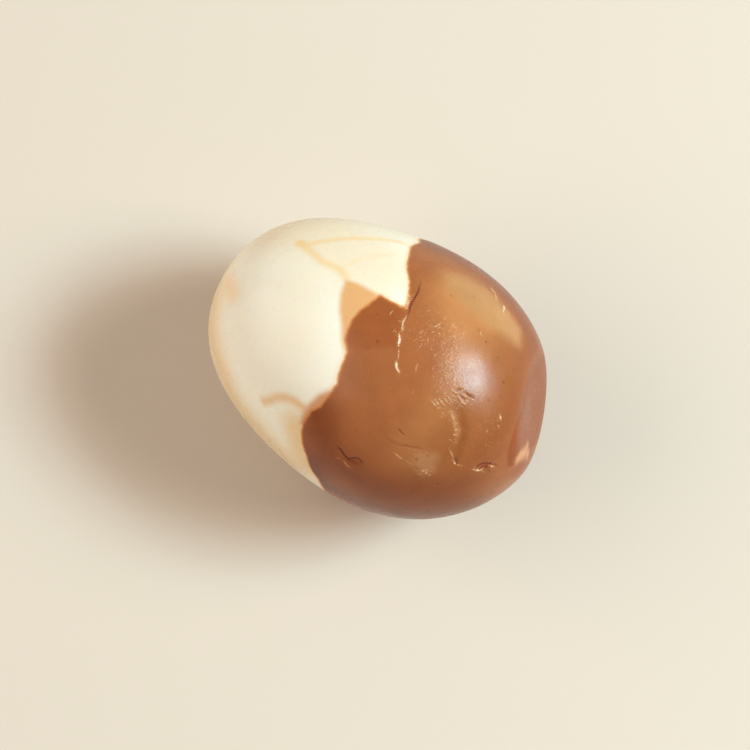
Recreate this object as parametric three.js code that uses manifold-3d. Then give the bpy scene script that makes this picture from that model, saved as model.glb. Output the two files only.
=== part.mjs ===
// A peeled tea egg: one hard-boiled hen's egg, steeped in tea and soy after its shell was cracked.
// Millimetres, +Z up. The egg lies on its side on a small flat that its own weight has pressed
// into it. The origin is the centre of that flat, +X runs along the egg towards its blunt end.

import * as THREE from "three";
import { mergeVertices } from "three/addons/utils/BufferGeometryUtils.js";
import Module from "manifold-3d";

// ---- Driving dimensions, in millimetres ------------------------------------------------------

const LENGTH = 56.8; // pole to pole
const MID_BREADTH = 42.0; // across the middle of the length

// Preston's egg curve: half breadth = MID_BREADTH/2 * cos(t) * (1 + c1*s + c2*s^2 + c3*s^3),
// where s = sin(t) runs from -1 at the pointed pole to 1 at the blunt pole.
const LEAN_TO_BLUNT_END = 0.106; // c1: moves the widest place towards the blunt end
const FULLNESS_OF_ENDS = 0.08; // c2: swells both ends and leaves the flanks flatter
const FULLNESS_OF_POINT = 0.132; // -c3: rounds the pointed end and tapers the blunt one

// The flat that the air cell leaves at the blunt end, off to one side of the pole.
const AIR_CELL_LEAN_DEG = 17.8; // its centre, round from the blunt pole as mid length sees it
const AIR_CELL_TURN_DEG = 69; // round the egg from the top, towards +Y
const AIR_CELL_PRESS = 2.15; // how far the flat lies below the full egg curve
const AIR_CELL_DISH = 0.2; // how much deeper its middle is than its rim
const AIR_CELL_DISH_RADIUS = 5.0;
const AIR_CELL_RIM = 0.4; // how softly the flat runs out into the curve

const REST_FLAT_PRESS = 0.85; // how far the egg's weight flattens it where it lies

const ROUND_SEGMENTS = 64; // facets round the egg
const RING_COUNT = 44; // facets from pole to pole

// ---- Shape -----------------------------------------------------------------------------------

// Distance from the egg's axis to its surface at station s.
function radiusAt(s) {
  const swell = 1 + LEAN_TO_BLUNT_END * s + FULLNESS_OF_ENDS * s ** 2 - FULLNESS_OF_POINT * s ** 3;
  return (MID_BREADTH / 2) * Math.sqrt(Math.max(0, 1 - s * s)) * swell;
}

// Points of the half outline from the pointed pole to the blunt one, as (radius, along the axis).
function halfOutline(count) {
  const points = [];
  for (let i = 0; i <= count; i++) {
    const s = Math.sin(Math.PI * (i / count - 0.5));
    const onAxis = i === 0 || i === count;
    points.push(new THREE.Vector2(onAxis ? 0 : radiusAt(s), (LENGTH / 2) * s));
  }
  return points;
}

// Where the egg's weight acts, along its axis from mid length.
function centroidAlongAxis() {
  const outline = halfOutline(400);
  let area = 0;
  let moment = 0;
  for (let i = 1; i < outline.length; i++) {
    const r = (outline[i].x + outline[i - 1].x) / 2;
    const step = outline[i].y - outline[i - 1].y;
    area += r * r * step;
    moment += (r * r * step * (outline[i].y + outline[i - 1].y)) / 2;
  }
  return moment / area;
}

// Height of the centroid over the table when the blunt end is raised by tilt.
function centroidHeight(outline, centroid, tilt) {
  const reach = outline.map((p) => p.x * Math.cos(tilt) - (p.y - centroid) * Math.sin(tilt));
  return Math.max(...reach);
}

// The egg settles at the tilt that brings its centroid lowest.
function restPose() {
  const outline = halfOutline(2000);
  const centroid = centroidAlongAxis();
  let low = -0.35;
  let high = 0.35;
  while (high - low > 1e-6) {
    const a = low + (high - low) / 3;
    const b = high - (high - low) / 3;
    if (centroidHeight(outline, centroid, a) < centroidHeight(outline, centroid, b)) high = b;
    else low = a;
  }
  const tilt = (low + high) / 2;
  return { tilt, centroid, height: centroidHeight(outline, centroid, tilt) };
}

// The flat of the air cell: its centre on the full egg curve and its outward direction,
// in the egg's own axes, with X along the egg.
function airCellSeat() {
  const s = Math.cos(THREE.MathUtils.degToRad(AIR_CELL_LEAN_DEG));
  const small = 1e-4;
  const slope = (radiusAt(s + small) - radiusAt(s - small)) / (LENGTH * small);
  const turn = THREE.MathUtils.degToRad(AIR_CELL_TURN_DEG);
  const outwards = new THREE.Vector3(0, Math.sin(turn), Math.cos(turn));
  const centre = outwards.clone().multiplyScalar(radiusAt(s)).setX((LENGTH / 2) * s);
  const normal = outwards.clone().setX(-slope).normalize();
  return { centre, normal };
}

// Presses one point of the surface back to the air cell's dished flat.
function pressAirCell(point, seat) {
  const offset = point.clone().sub(seat.centre);
  const height = offset.dot(seat.normal) + AIR_CELL_PRESS;
  const sideways = offset.addScaledVector(seat.normal, -offset.dot(seat.normal)).length();
  const soft = AIR_CELL_RIM * Math.log1p(Math.exp(height / AIR_CELL_RIM));
  const dish = AIR_CELL_DISH * Math.exp(-((sideways / AIR_CELL_DISH_RADIUS) ** 2));
  const faces = 1 / (1 + Math.exp(-(height + 1) / AIR_CELL_RIM));
  return point.addScaledVector(seat.normal, -soft - dish * faces);
}

// The full egg, laid with its axis along X and its air cell pressed flat.
function eggSurface() {
  const surface = new THREE.LatheGeometry(halfOutline(RING_COUNT), ROUND_SEGMENTS);
  surface.rotateZ(-Math.PI / 2);
  const seat = airCellSeat();
  const place = surface.attributes.position;
  const point = new THREE.Vector3();
  for (let i = 0; i < place.count; i++) {
    pressAirCell(point.fromBufferAttribute(place, i), seat);
    place.setXYZ(i, point.x, point.y, point.z);
  }
  return surface;
}

// ---- Cutting the rest flat -------------------------------------------------------------------

const wasm = await Module();
wasm.setup();

// A closed geometry as a manifold-3d solid.
function solidOf(geometry) {
  const bare = geometry.clone();
  bare.deleteAttribute("normal");
  bare.deleteAttribute("uv");
  const merged = mergeVertices(bare, 1e-4);
  const vertProperties = merged.attributes.position.array;
  const triVerts = new Uint32Array(merged.index.array);
  return new wasm.Manifold(new wasm.Mesh({ numProp: 3, vertProperties, triVerts }));
}

// A manifold-3d solid as a geometry.
function geometryOf(solid) {
  const mesh = solid.getMesh();
  const geometry = new THREE.BufferGeometry();
  geometry.setAttribute("position", new THREE.BufferAttribute(mesh.vertProperties, 3));
  geometry.setIndex(new THREE.BufferAttribute(mesh.triVerts, 1));
  geometry.computeVertexNormals();
  return geometry;
}

// The egg lying as it settles, with everything below the table level cut away.
function lyingEgg() {
  const { tilt, centroid, height } = restPose();
  const surface = eggSurface();
  surface.translate(-centroid, 0, 0);
  surface.rotateY(-tilt); // raises the blunt end
  surface.translate(0, 0, height - REST_FLAT_PRESS);
  const below = new THREE.BoxGeometry(2 * LENGTH, 2 * LENGTH, LENGTH);
  below.translate(0, 0, -LENGTH / 2);
  return geometryOf(solidOf(surface).subtract(solidOf(below)));
}

// ---- The part --------------------------------------------------------------------------------

const stainedEggWhite = new THREE.MeshStandardMaterial({
  color: 0xa5653b,
  roughness: 0.38,
  metalness: 0,
});

const teaEgg = new THREE.Group();
const egg = new THREE.Mesh(lyingEgg(), stainedEggWhite);
egg.name = "egg";
teaEgg.add(egg);

export default teaEgg;
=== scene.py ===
"""A peeled tea egg: one hard-boiled hen's egg, its white stained by tea where the shell was cracked.

Places on the egg are given as a station, in millimetres from mid length towards the blunt end, and a
turn, in degrees round the egg from its top towards +Y. The egg itself is grown by Geometry Nodes.
"""

import logging
import math
from dataclasses import dataclass, field
from enum import Enum

import bpy
import numpy as np
from mathutils import Matrix, Vector
from mathutils.bvhtree import BVHTree


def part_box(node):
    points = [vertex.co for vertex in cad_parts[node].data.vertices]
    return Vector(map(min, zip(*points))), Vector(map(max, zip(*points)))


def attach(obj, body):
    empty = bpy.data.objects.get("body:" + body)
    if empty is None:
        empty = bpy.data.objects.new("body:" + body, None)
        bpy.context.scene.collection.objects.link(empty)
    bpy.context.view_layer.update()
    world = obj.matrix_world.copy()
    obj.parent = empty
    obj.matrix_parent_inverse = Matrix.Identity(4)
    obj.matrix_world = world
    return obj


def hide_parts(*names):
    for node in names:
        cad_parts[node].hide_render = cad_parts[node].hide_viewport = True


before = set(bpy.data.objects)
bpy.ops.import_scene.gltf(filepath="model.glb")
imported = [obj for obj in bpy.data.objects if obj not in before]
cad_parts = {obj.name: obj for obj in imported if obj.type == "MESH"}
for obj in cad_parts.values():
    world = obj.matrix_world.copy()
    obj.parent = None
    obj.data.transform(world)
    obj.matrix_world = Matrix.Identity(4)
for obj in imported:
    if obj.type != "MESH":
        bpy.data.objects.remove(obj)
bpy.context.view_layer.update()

MM = 0.001
LOG = logging.getLogger("tea_egg")

Spot = tuple[float, float]


class Hue(Enum):
    """Colours of the egg, its stains and the shade and highlight painted on it, and of the floor and lamps,
    as sRGB hex.
    """

    CREAM = "F2E8D4"
    SHADED_CREAM = "DEC398"
    PEACH = "F0C894"
    # painted shade: a warm, darker cream laid towards the cream's rims and over its brighter parts
    WARM_SHADE_CREAM = "E8C592"
    VEIN = "EFC684"
    STRONG_VEIN = "E2AA60"
    TAN = "DD9E5C"
    FRINGE = "CC7C3C"
    BROWN = "A35D30"
    LIGHT_BROWN = "BE7C47"
    # a lighter patch of stain, and also a painted highlight on the crease's lit crest
    SANDY_AND_LIT = "BA8250"
    # painted shade down the flanks and in the crease's valley, and darker brown on the underside
    SHADY_BROWN = "864014"
    # painted shade, deepest down the flanks, and darker brown on the underside
    DARK_BROWN_AND_SHADE = "6E2404"
    RUST = "893A02"
    REDDISH = "9C5224"
    PINKISH = "9C582C"
    ROSY = "B27A50"
    OCHRE = "CA885A"
    TORN = "D69C68"
    SCRAPED = "F2D8B4"
    CRACK = "6C2004"
    FLOOR = "D4C1AE"
    LAMPLIGHT = "FFF9F0"
    DAYLIGHT = "FBF9F7"
    SKYLIGHT = "A8E8FF"


def linear(hue: Hue) -> tuple[float, float, float, float]:
    """Turns a hue's sRGB hex value into linear numbers.

    Args:
        hue: The colour.

    Returns:
        Red, green, blue and a full alpha, as Blender's sockets take them.
    """
    parts = [int(hue.value[i : i + 2], 16) / 255 for i in (0, 2, 4)]
    red, green, blue = (c / 12.92 if c <= 0.04045 else ((c + 0.055) / 1.055) ** 2.4 for c in parts)
    return red, green, blue, 1.0


def add(tree: bpy.types.NodeTree, kind: str, *inputs: object, **settings: object) -> bpy.types.Node:
    """Adds a node with its settings and links.

    Args:
        tree: The node tree that gets the node.
        kind: The node's type name.
        inputs: A value or an output socket for each input in turn, or None to leave one alone. A dict
            names inputs instead.
        settings: The node's own properties.

    Returns:
        The new node.
    """
    node = tree.nodes.new(kind)
    for name, value in settings.items():
        setattr(node, name, value)
    named = inputs[0] if len(inputs) == 1 and isinstance(inputs[0], dict) else dict(enumerate(inputs))
    for key, value in named.items():
        if isinstance(value, bpy.types.NodeSocket):
            tree.links.new(value, node.inputs[key])
        elif value is not None:
            node.inputs[key].default_value = value
    return node


def smoothstep(low: float, high: float, value: np.ndarray) -> np.ndarray:
    """Rises from 0 at low to 1 at high, with level ends."""
    t = np.clip((value - low) / (high - low), 0, 1)
    return t * t * (3 - 2 * t)


def nearest(samples: np.ndarray, points: np.ndarray) -> tuple[np.ndarray, np.ndarray]:
    """Finds the sample nearest to each point.

    Args:
        samples: Places to look among, one row each.
        points: Places to look from, one row each.

    Returns:
        The nearest sample's row and its distance, for each point.
    """
    rows = np.empty(len(points), int)
    gaps = np.empty(len(points))
    square = (samples**2).sum(1)
    for start in range(0, len(points), 4000):
        part = slice(start, start + 4000)
        far = (points[part] ** 2).sum(1)[:, None] - 2 * points[part] @ samples.T + square
        rows[part] = far.argmin(1)
        gaps[part] = np.sqrt(np.maximum(far.min(1), 0))
    return rows, gaps


# ---- The egg's shape -------------------------------------------------------------------------------


@dataclass(frozen=True)
class AirCell:
    """The flat that the air cell leaves at the blunt end, off to one side of the pole.

    Attributes:
        lean_deg: Its centre, round from the blunt pole as mid length sees it.
        turn_deg: Its centre, round the egg from the top towards +Y.
        press: How far it lies below the full egg curve, in metres.
        dish: How much deeper its middle is than its rim, in metres.
        dish_radius: Reach of the dish, in metres.
        rim: How softly the flat runs out into the curve, in metres.
    """

    lean_deg: float = 17.8
    turn_deg: float = 69.0
    press: float = 2.15 * MM
    dish: float = 0.2 * MM
    dish_radius: float = 5.0 * MM
    rim: float = 0.4 * MM


@dataclass(frozen=True)
class EggCurve:
    """Preston's egg curve: half breadth = mid_breadth/2 * cos(t) * (1 + c1 s + c2 s^2 + c3 s^3), s = sin(t).

    Attributes:
        length: Pole to pole, in metres.
        mid_breadth: Across the middle of the length, in metres.
        lean: c1, which moves the widest place towards the blunt end.
        fullness_of_ends: c2, which swells both ends.
        fullness_of_point: -c3, which rounds the pointed end and tapers the blunt one.
    """

    length: float = 56.8 * MM
    mid_breadth: float = 42.0 * MM
    lean: float = 0.106
    fullness_of_ends: float = 0.08
    fullness_of_point: float = 0.132

    def radius_at(self, s: float) -> float:
        """Distance from the axis to the surface at station s, from -1 to 1."""
        swell = 1 + self.lean * s + self.fullness_of_ends * s**2 - self.fullness_of_point * s**3
        return self.mid_breadth / 2 * math.sqrt(max(0.0, 1 - s * s)) * swell

    def seat(self, cell: AirCell) -> tuple[Vector, Vector]:
        """Finds where the air cell's flat is.

        Args:
            cell: The air cell.

        Returns:
            Its centre on the full curve and its outward direction, with X along the egg.
        """
        s = math.cos(math.radians(cell.lean_deg))
        small = 1e-4
        slope = (self.radius_at(s + small) - self.radius_at(s - small)) / (self.length * small)
        turn = math.radians(cell.turn_deg)
        outwards = Vector((0, math.sin(turn), math.cos(turn)))
        centre = outwards * self.radius_at(s) + Vector((self.length / 2 * s, 0, 0))
        return centre, (outwards - Vector((slope, 0, 0))).normalized()


@dataclass
class EggBody:
    """The whole boiled egg, grown as one skin of even quads that is finest where its marks are.

    Attributes:
        curve: The egg's outline.
        cell: The flat at its blunt end.
        tilt_deg: How far the blunt end is raised as the egg lies at rest.
        rest_softness: How softly the rest flat runs out into the curve, in metres.
        faces_per_side: Quads along each side of the cube that the skin is blown up from.
        fine_towards: Direction, with X along the egg, in which the quads are finest.
        fineness: How much finer than average they are there.
        fit: What the laid egg was scaled by to fill the CAD node's box, which is all but 1.
        centre: Where mid length lies once the egg is laid, in metres.
    """

    curve: EggCurve = EggCurve()
    cell: AirCell = AirCell()
    tilt_deg: float = 6.74
    rest_softness: float = 0.12 * MM
    faces_per_side: int = 128
    fine_towards: tuple[float, float, float] = (0.5, 0.0, 0.87)
    fineness: float = 1.7
    fit: float = field(default=1.0, init=False)
    centre: np.ndarray = field(default_factory=lambda: np.zeros(3), init=False)

    DISH_BEHIND = 4 * MM  # how far behind the full curve the dish still has a hold

    def inputs(self, finish: bpy.types.Material) -> dict[str, object]:
        """Names the growing tree's inputs.

        Args:
            finish: The skin's material.

        Returns:
            Each input's value by its name.
        """
        centre, facing = self.curve.seat(self.cell)
        return {
            "Faces Per Side": self.faces_per_side,
            "Half Length": self.curve.length / 2,
            "Half Breadth": self.curve.mid_breadth / 2,
            "Lean": self.curve.lean,
            "Fullness Of Ends": self.curve.fullness_of_ends,
            "Fullness Of Point": self.curve.fullness_of_point,
            "Cell Centre": centre,
            "Cell Facing": facing,
            "Cell Press": self.cell.press,
            "Cell Rim": self.cell.rim,
            "Cell Dish": self.cell.dish,
            "Cell Dish Radius": self.cell.dish_radius,
            "Fine Towards": Vector(self.fine_towards).normalized(),
            "Fineness": self.fineness,
            "Finish": finish,
        }

    def tree(self, values: dict[str, object]) -> bpy.types.NodeTree:
        """Builds the Geometry Nodes tree that grows the egg from a cube.

        Args:
            values: The tree's inputs by name, which give its sockets their kinds.

        Returns:
            The node tree.
        """
        tree = bpy.data.node_groups.new("egg_growth", "GeometryNodeTree")
        for name, value in values.items():
            tree.interface.new_socket(name, in_out="INPUT", socket_type=socket_kind(value))
        tree.interface.new_socket("Geometry", in_out="OUTPUT", socket_type="NodeSocketGeometry")
        sizes = add(tree, "NodeGroupInput").outputs
        rounded = self.blow_up(tree, sizes)
        full = self.draw_out(tree, sizes, rounded)
        pressed = self.press_cell(tree, sizes, full)

        across = add(tree, "ShaderNodeMath", sizes["Faces Per Side"], 1.0).outputs[0]
        cube = add(tree, "GeometryNodeMeshCube", (2, 2, 2), across, across, across)
        skin = add(tree, "GeometryNodeSetPosition", {"Geometry": cube.outputs[0], "Position": pressed})
        smooth = add(tree, "GeometryNodeSetShadeSmooth", {"Geometry": skin.outputs[0]})
        real = add(tree, "GeometryNodeRealizeInstances", {"Geometry": smooth.outputs[0]})
        dressed = add(
            tree, "GeometryNodeSetMaterial", {"Geometry": real.outputs[0], "Material": sizes["Finish"]}
        )
        add(tree, "NodeGroupOutput", dressed.outputs[0])
        return tree

    def blow_up(self, tree: bpy.types.NodeTree, sizes: bpy.types.bpy_prop_collection) -> bpy.types.NodeSocket:
        """Blows the cube up to a ball of radius 1, and gathers its faces towards one direction.

        Args:
            tree: The growing tree.
            sizes: The tree's inputs.

        Returns:
            The place of each vertex on the ball.
        """
        vector = "ShaderNodeVectorMath"
        at = add(tree, "GeometryNodeInputPosition").outputs[0]
        quarter = add(tree, vector, at, operation="SCALE")
        quarter.inputs["Scale"].default_value = math.pi / 4
        even = add(tree, vector, quarter.outputs[0], operation="TANGENT").outputs[0]
        ball = add(tree, vector, even, operation="NORMALIZE").outputs[0]
        towards = sizes["Fine Towards"]
        cosine = add(tree, vector, ball, towards, operation="DOT_PRODUCT").outputs["Value"]
        # tan of half the angle from that direction is divided by the fineness, which keeps faces square.
        near = add(tree, "ShaderNodeMath", cosine, 1.0).outputs[0]
        far = add(tree, "ShaderNodeMath", 1.0, cosine, operation="SUBTRACT").outputs[0]
        k = sizes["Fineness"]
        k_squared = add(tree, "ShaderNodeMath", k, k, operation="MULTIPLY").outputs[0]
        drawn = add(tree, "ShaderNodeMath", near, k_squared, operation="MULTIPLY").outputs[0]
        whole = add(tree, "ShaderNodeMath", drawn, far).outputs[0]
        less = add(tree, "ShaderNodeMath", drawn, far, operation="SUBTRACT").outputs[0]
        new_cosine = add(tree, "ShaderNodeMath", less, whole, operation="DIVIDE").outputs[0]
        twice = add(tree, "ShaderNodeMath", k, 2.0, operation="MULTIPLY").outputs[0]
        shrink = add(tree, "ShaderNodeMath", twice, whole, operation="DIVIDE").outputs[0]
        along = add(tree, vector, {0: towards, "Scale": cosine}, operation="SCALE").outputs[0]
        sideways = add(tree, vector, ball, along, operation="SUBTRACT").outputs[0]
        side = add(tree, vector, {0: sideways, "Scale": shrink}, operation="SCALE").outputs[0]
        pole = add(tree, vector, {0: towards, "Scale": new_cosine}, operation="SCALE").outputs[0]
        return add(tree, vector, side, pole).outputs[0]

    def draw_out(
        self, tree: bpy.types.NodeTree, sizes: bpy.types.bpy_prop_collection, ball: bpy.types.NodeSocket
    ) -> bpy.types.NodeSocket:
        """Draws the ball out to the full egg curve.

        Args:
            tree: The growing tree.
            sizes: The tree's inputs.
            ball: The place of each vertex on the ball.

        Returns:
            The place of each vertex on the full egg.
        """
        math_node = "ShaderNodeMath"
        parts = add(tree, "ShaderNodeSeparateXYZ", ball).outputs
        s = parts["X"]
        # swell = ((-point * s + ends) * s + lean) * s + 1
        minus = add(tree, math_node, sizes["Fullness Of Point"], -1.0, operation="MULTIPLY").outputs[0]
        swell = add(tree, math_node, minus, s, sizes["Fullness Of Ends"], operation="MULTIPLY_ADD").outputs[0]
        swell = add(tree, math_node, swell, s, sizes["Lean"], operation="MULTIPLY_ADD").outputs[0]
        swell = add(tree, math_node, swell, s, 1.0, operation="MULTIPLY_ADD").outputs[0]
        breadth = add(tree, math_node, swell, sizes["Half Breadth"], operation="MULTIPLY").outputs[0]
        stretch = add(tree, "ShaderNodeCombineXYZ", sizes["Half Length"], breadth, breadth).outputs[0]
        return add(tree, "ShaderNodeVectorMath", ball, stretch, operation="MULTIPLY").outputs[0]

    def press_cell(
        self, tree: bpy.types.NodeTree, sizes: bpy.types.bpy_prop_collection, full: bpy.types.NodeSocket
    ) -> bpy.types.NodeSocket:
        """Presses the blunt end back to the air cell's dished flat.

        Args:
            tree: The growing tree.
            sizes: The tree's inputs.
            full: The place of each vertex on the full egg.

        Returns:
            The place of each vertex on the pressed egg.
        """
        math_node = "ShaderNodeMath"
        vector = "ShaderNodeVectorMath"
        facing = sizes["Cell Facing"]
        rim = sizes["Cell Rim"]
        offset = add(tree, vector, full, sizes["Cell Centre"], operation="SUBTRACT").outputs[0]
        over = add(tree, vector, offset, facing, operation="DOT_PRODUCT").outputs["Value"]
        height = add(tree, math_node, over, sizes["Cell Press"]).outputs[0]
        upright = add(tree, vector, {0: facing, "Scale": over}, operation="SCALE").outputs[0]
        level = add(tree, vector, offset, upright, operation="SUBTRACT").outputs[0]
        sideways = add(tree, vector, level, operation="LENGTH").outputs["Value"]
        # soft = rim * ln(1 + exp(height / rim)): nothing well below the flat, the full height above it.
        steps = add(tree, math_node, height, rim, operation="DIVIDE").outputs[0]
        grown = add(tree, math_node, steps, operation="EXPONENT").outputs[0]
        one_more = add(tree, math_node, grown, 1.0).outputs[0]
        log = add(tree, math_node, one_more, math.e, operation="LOGARITHM").outputs[0]
        soft = add(tree, math_node, log, rim, operation="MULTIPLY").outputs[0]
        ratio = add(tree, math_node, sideways, sizes["Cell Dish Radius"], operation="DIVIDE").outputs[0]
        squared = add(tree, math_node, ratio, ratio, operation="MULTIPLY").outputs[0]
        minus = add(tree, math_node, squared, -1.0, operation="MULTIPLY").outputs[0]
        bell = add(tree, math_node, minus, operation="EXPONENT").outputs[0]
        dish = add(tree, math_node, bell, sizes["Cell Dish"], operation="MULTIPLY").outputs[0]
        # the dish belongs to the blunt side alone
        on_side = add(tree, math_node, over, -self.DISH_BEHIND, operation="GREATER_THAN").outputs[0]
        press = add(tree, math_node, dish, on_side, soft, operation="MULTIPLY_ADD").outputs[0]
        inwards = add(tree, vector, {0: facing, "Scale": press}, operation="SCALE").outputs[0]
        return add(tree, vector, full, inwards, operation="SUBTRACT").outputs[0]

    def grow(self, finish: bpy.types.Material) -> bpy.types.Object:
        """Grows the egg and lays it where the CAD node lies.

        Args:
            finish: The skin's material.

        Returns:
            The egg as an object with a plain mesh.
        """
        values = self.inputs(finish)
        holder = bpy.data.objects.new("growing", bpy.data.meshes.new("growing"))
        bpy.context.scene.collection.objects.link(holder)
        mesh = run_tree(holder, self.tree(values), values)
        bpy.data.objects.remove(holder)
        self.lay(mesh)
        egg = bpy.data.objects.new("tea_egg", mesh)
        mesh.name = "tea_egg"
        bpy.context.scene.collection.objects.link(egg)
        return egg

    def lay(self, mesh: bpy.types.Mesh) -> None:
        """Tilts the egg to rest, fits it to the CAD node's box and presses its rest flat.

        Args:
            mesh: The grown skin, with X along the egg.
        """
        mesh.transform(Matrix.Rotation(-math.radians(self.tilt_deg), 4, "Y"))
        points = read_points(mesh)
        low, high = points.min(0), points.max(0)
        cad_low, cad_high = (np.array(corner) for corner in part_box("egg"))
        self.fit = (cad_high[0] - cad_low[0]) / (high[0] - low[0])
        self.centre = (cad_low + cad_high) / 2 - (low + high) / 2 * self.fit
        self.centre[2] = cad_high[2] - high[2] * self.fit
        points = points * self.fit + self.centre
        soft = self.rest_softness
        points[:, 2] = soft * np.logaddexp(0, points[:, 2] / soft)
        write_points(mesh, points)


def socket_kind(value: object) -> str:
    """Names the kind of socket that takes a value.

    Args:
        value: A material, a vector, a whole number or a number.

    Returns:
        The socket's type name.
    """
    if isinstance(value, bpy.types.Material):
        return "NodeSocketMaterial"
    if isinstance(value, Vector):
        return "NodeSocketVector"
    return "NodeSocketInt" if isinstance(value, int) else "NodeSocketFloat"


def run_tree(
    target: bpy.types.Object, tree: bpy.types.NodeTree, values: dict[str, object]
) -> bpy.types.Mesh:
    """Runs a Geometry Nodes tree on an object and takes its result as a plain mesh.

    Args:
        target: The object that carries the modifier for the time being.
        tree: The node tree.
        values: The tree's inputs by name.

    Returns:
        The evaluated mesh, with no modifier left.
    """
    modifier = target.modifiers.new("growth", "NODES")
    modifier.node_group = tree
    for item in tree.interface.items_tree:
        if item.item_type == "SOCKET" and item.in_out == "INPUT" and item.name in values:
            modifier[item.identifier] = values[item.name]
    target.update_tag()
    depsgraph = bpy.context.evaluated_depsgraph_get()
    mesh = bpy.data.meshes.new_from_object(target.evaluated_get(depsgraph), depsgraph=depsgraph)
    target.modifiers.remove(modifier)
    bpy.data.node_groups.remove(tree)
    mesh.materials.clear()  # drops the empty slot that the cube brought
    mesh.materials.append(values["Finish"])
    mesh.polygons.foreach_set("material_index", [0] * len(mesh.polygons))
    return mesh


def read_points(mesh: bpy.types.Mesh) -> np.ndarray:
    """Reads a mesh's vertices.

    Args:
        mesh: The mesh.

    Returns:
        Where the vertices are, one row each.
    """
    flat = np.empty(len(mesh.vertices) * 3)
    mesh.vertices.foreach_get("co", flat)
    return flat.reshape(-1, 3)


def write_points(mesh: bpy.types.Mesh, points: np.ndarray) -> None:
    """Moves a mesh's vertices to points, one row each."""
    mesh.vertices.foreach_set("co", points.ravel())
    mesh.update()


# ---- Drawing on the egg ----------------------------------------------------------------------------


class Skin:
    """The laid egg's surface, with places on it named by station and turn."""

    def __init__(self, egg: bpy.types.Object, body: EggBody) -> None:
        """Takes hold of a grown egg.

        Args:
            egg: The egg's object.
            body: What it was grown from.
        """
        self.mesh = egg.data
        tilt = math.radians(body.tilt_deg)
        self.centre = Vector(body.centre)
        self.along = Vector((math.cos(tilt), 0, math.sin(tilt)))
        self.up = Vector((-math.sin(tilt), 0, math.cos(tilt)))
        self.side = Vector((0, 1, 0))
        self.seat = body.curve.seat(body.cell)
        self.refresh()
        self.surface = BVHTree.FromPolygons(
            [tuple(p) for p in self.points], [tuple(f.vertices) for f in self.mesh.polygons]
        )
        offset = self.points - np.array(self.centre)
        self.station = offset @ np.array(self.along) / MM
        self.turn = np.degrees(np.arctan2(offset @ np.array(self.side), offset @ np.array(self.up)))

    def refresh(self) -> None:
        """Reads the vertices and their normals again."""
        self.points = read_points(self.mesh)
        normals = np.empty(self.points.size)
        self.mesh.vertex_normals.foreach_get("vector", normals)
        self.normals = normals.reshape(-1, 3)

    def move(self, points: np.ndarray) -> None:
        """Moves the vertices, and reads their normals again."""
        write_points(self.mesh, points)
        self.refresh()

    def place(self, station: float, turn: float) -> tuple[Vector, Vector]:
        """Finds a place on the skin.

        Args:
            station: Millimetres from mid length towards the blunt end.
            turn: Degrees from the top towards +Y.

        Returns:
            The place and the outward direction there.
        """
        start = self.centre + self.along * station * MM
        way = self.up * math.cos(math.radians(turn)) + self.side * math.sin(math.radians(turn))
        place, normal, _, _ = self.surface.ray_cast(start, way)
        if place is None:  # past the pole, or past the air cell's flat
            place, normal, _, _ = self.surface.find_nearest(start)
        return place, normal

    def keep(self, name: str, values: np.ndarray) -> None:
        """Keeps values on the vertices, for the finish to read.

        Args:
            name: The attribute's name.
            values: For each vertex one number, or a row of three, or of red, green, blue and alpha.
        """
        width = values.shape[1] if values.ndim == 2 else 1
        kinds = {1: ("FLOAT", "value"), 3: ("FLOAT_VECTOR", "vector"), 4: ("FLOAT_COLOR", "color")}
        kind, slot = kinds[width]
        layer = self.mesh.attributes.new(name, kind, "POINT")
        layer.data.foreach_set(slot, values.ravel())


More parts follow.
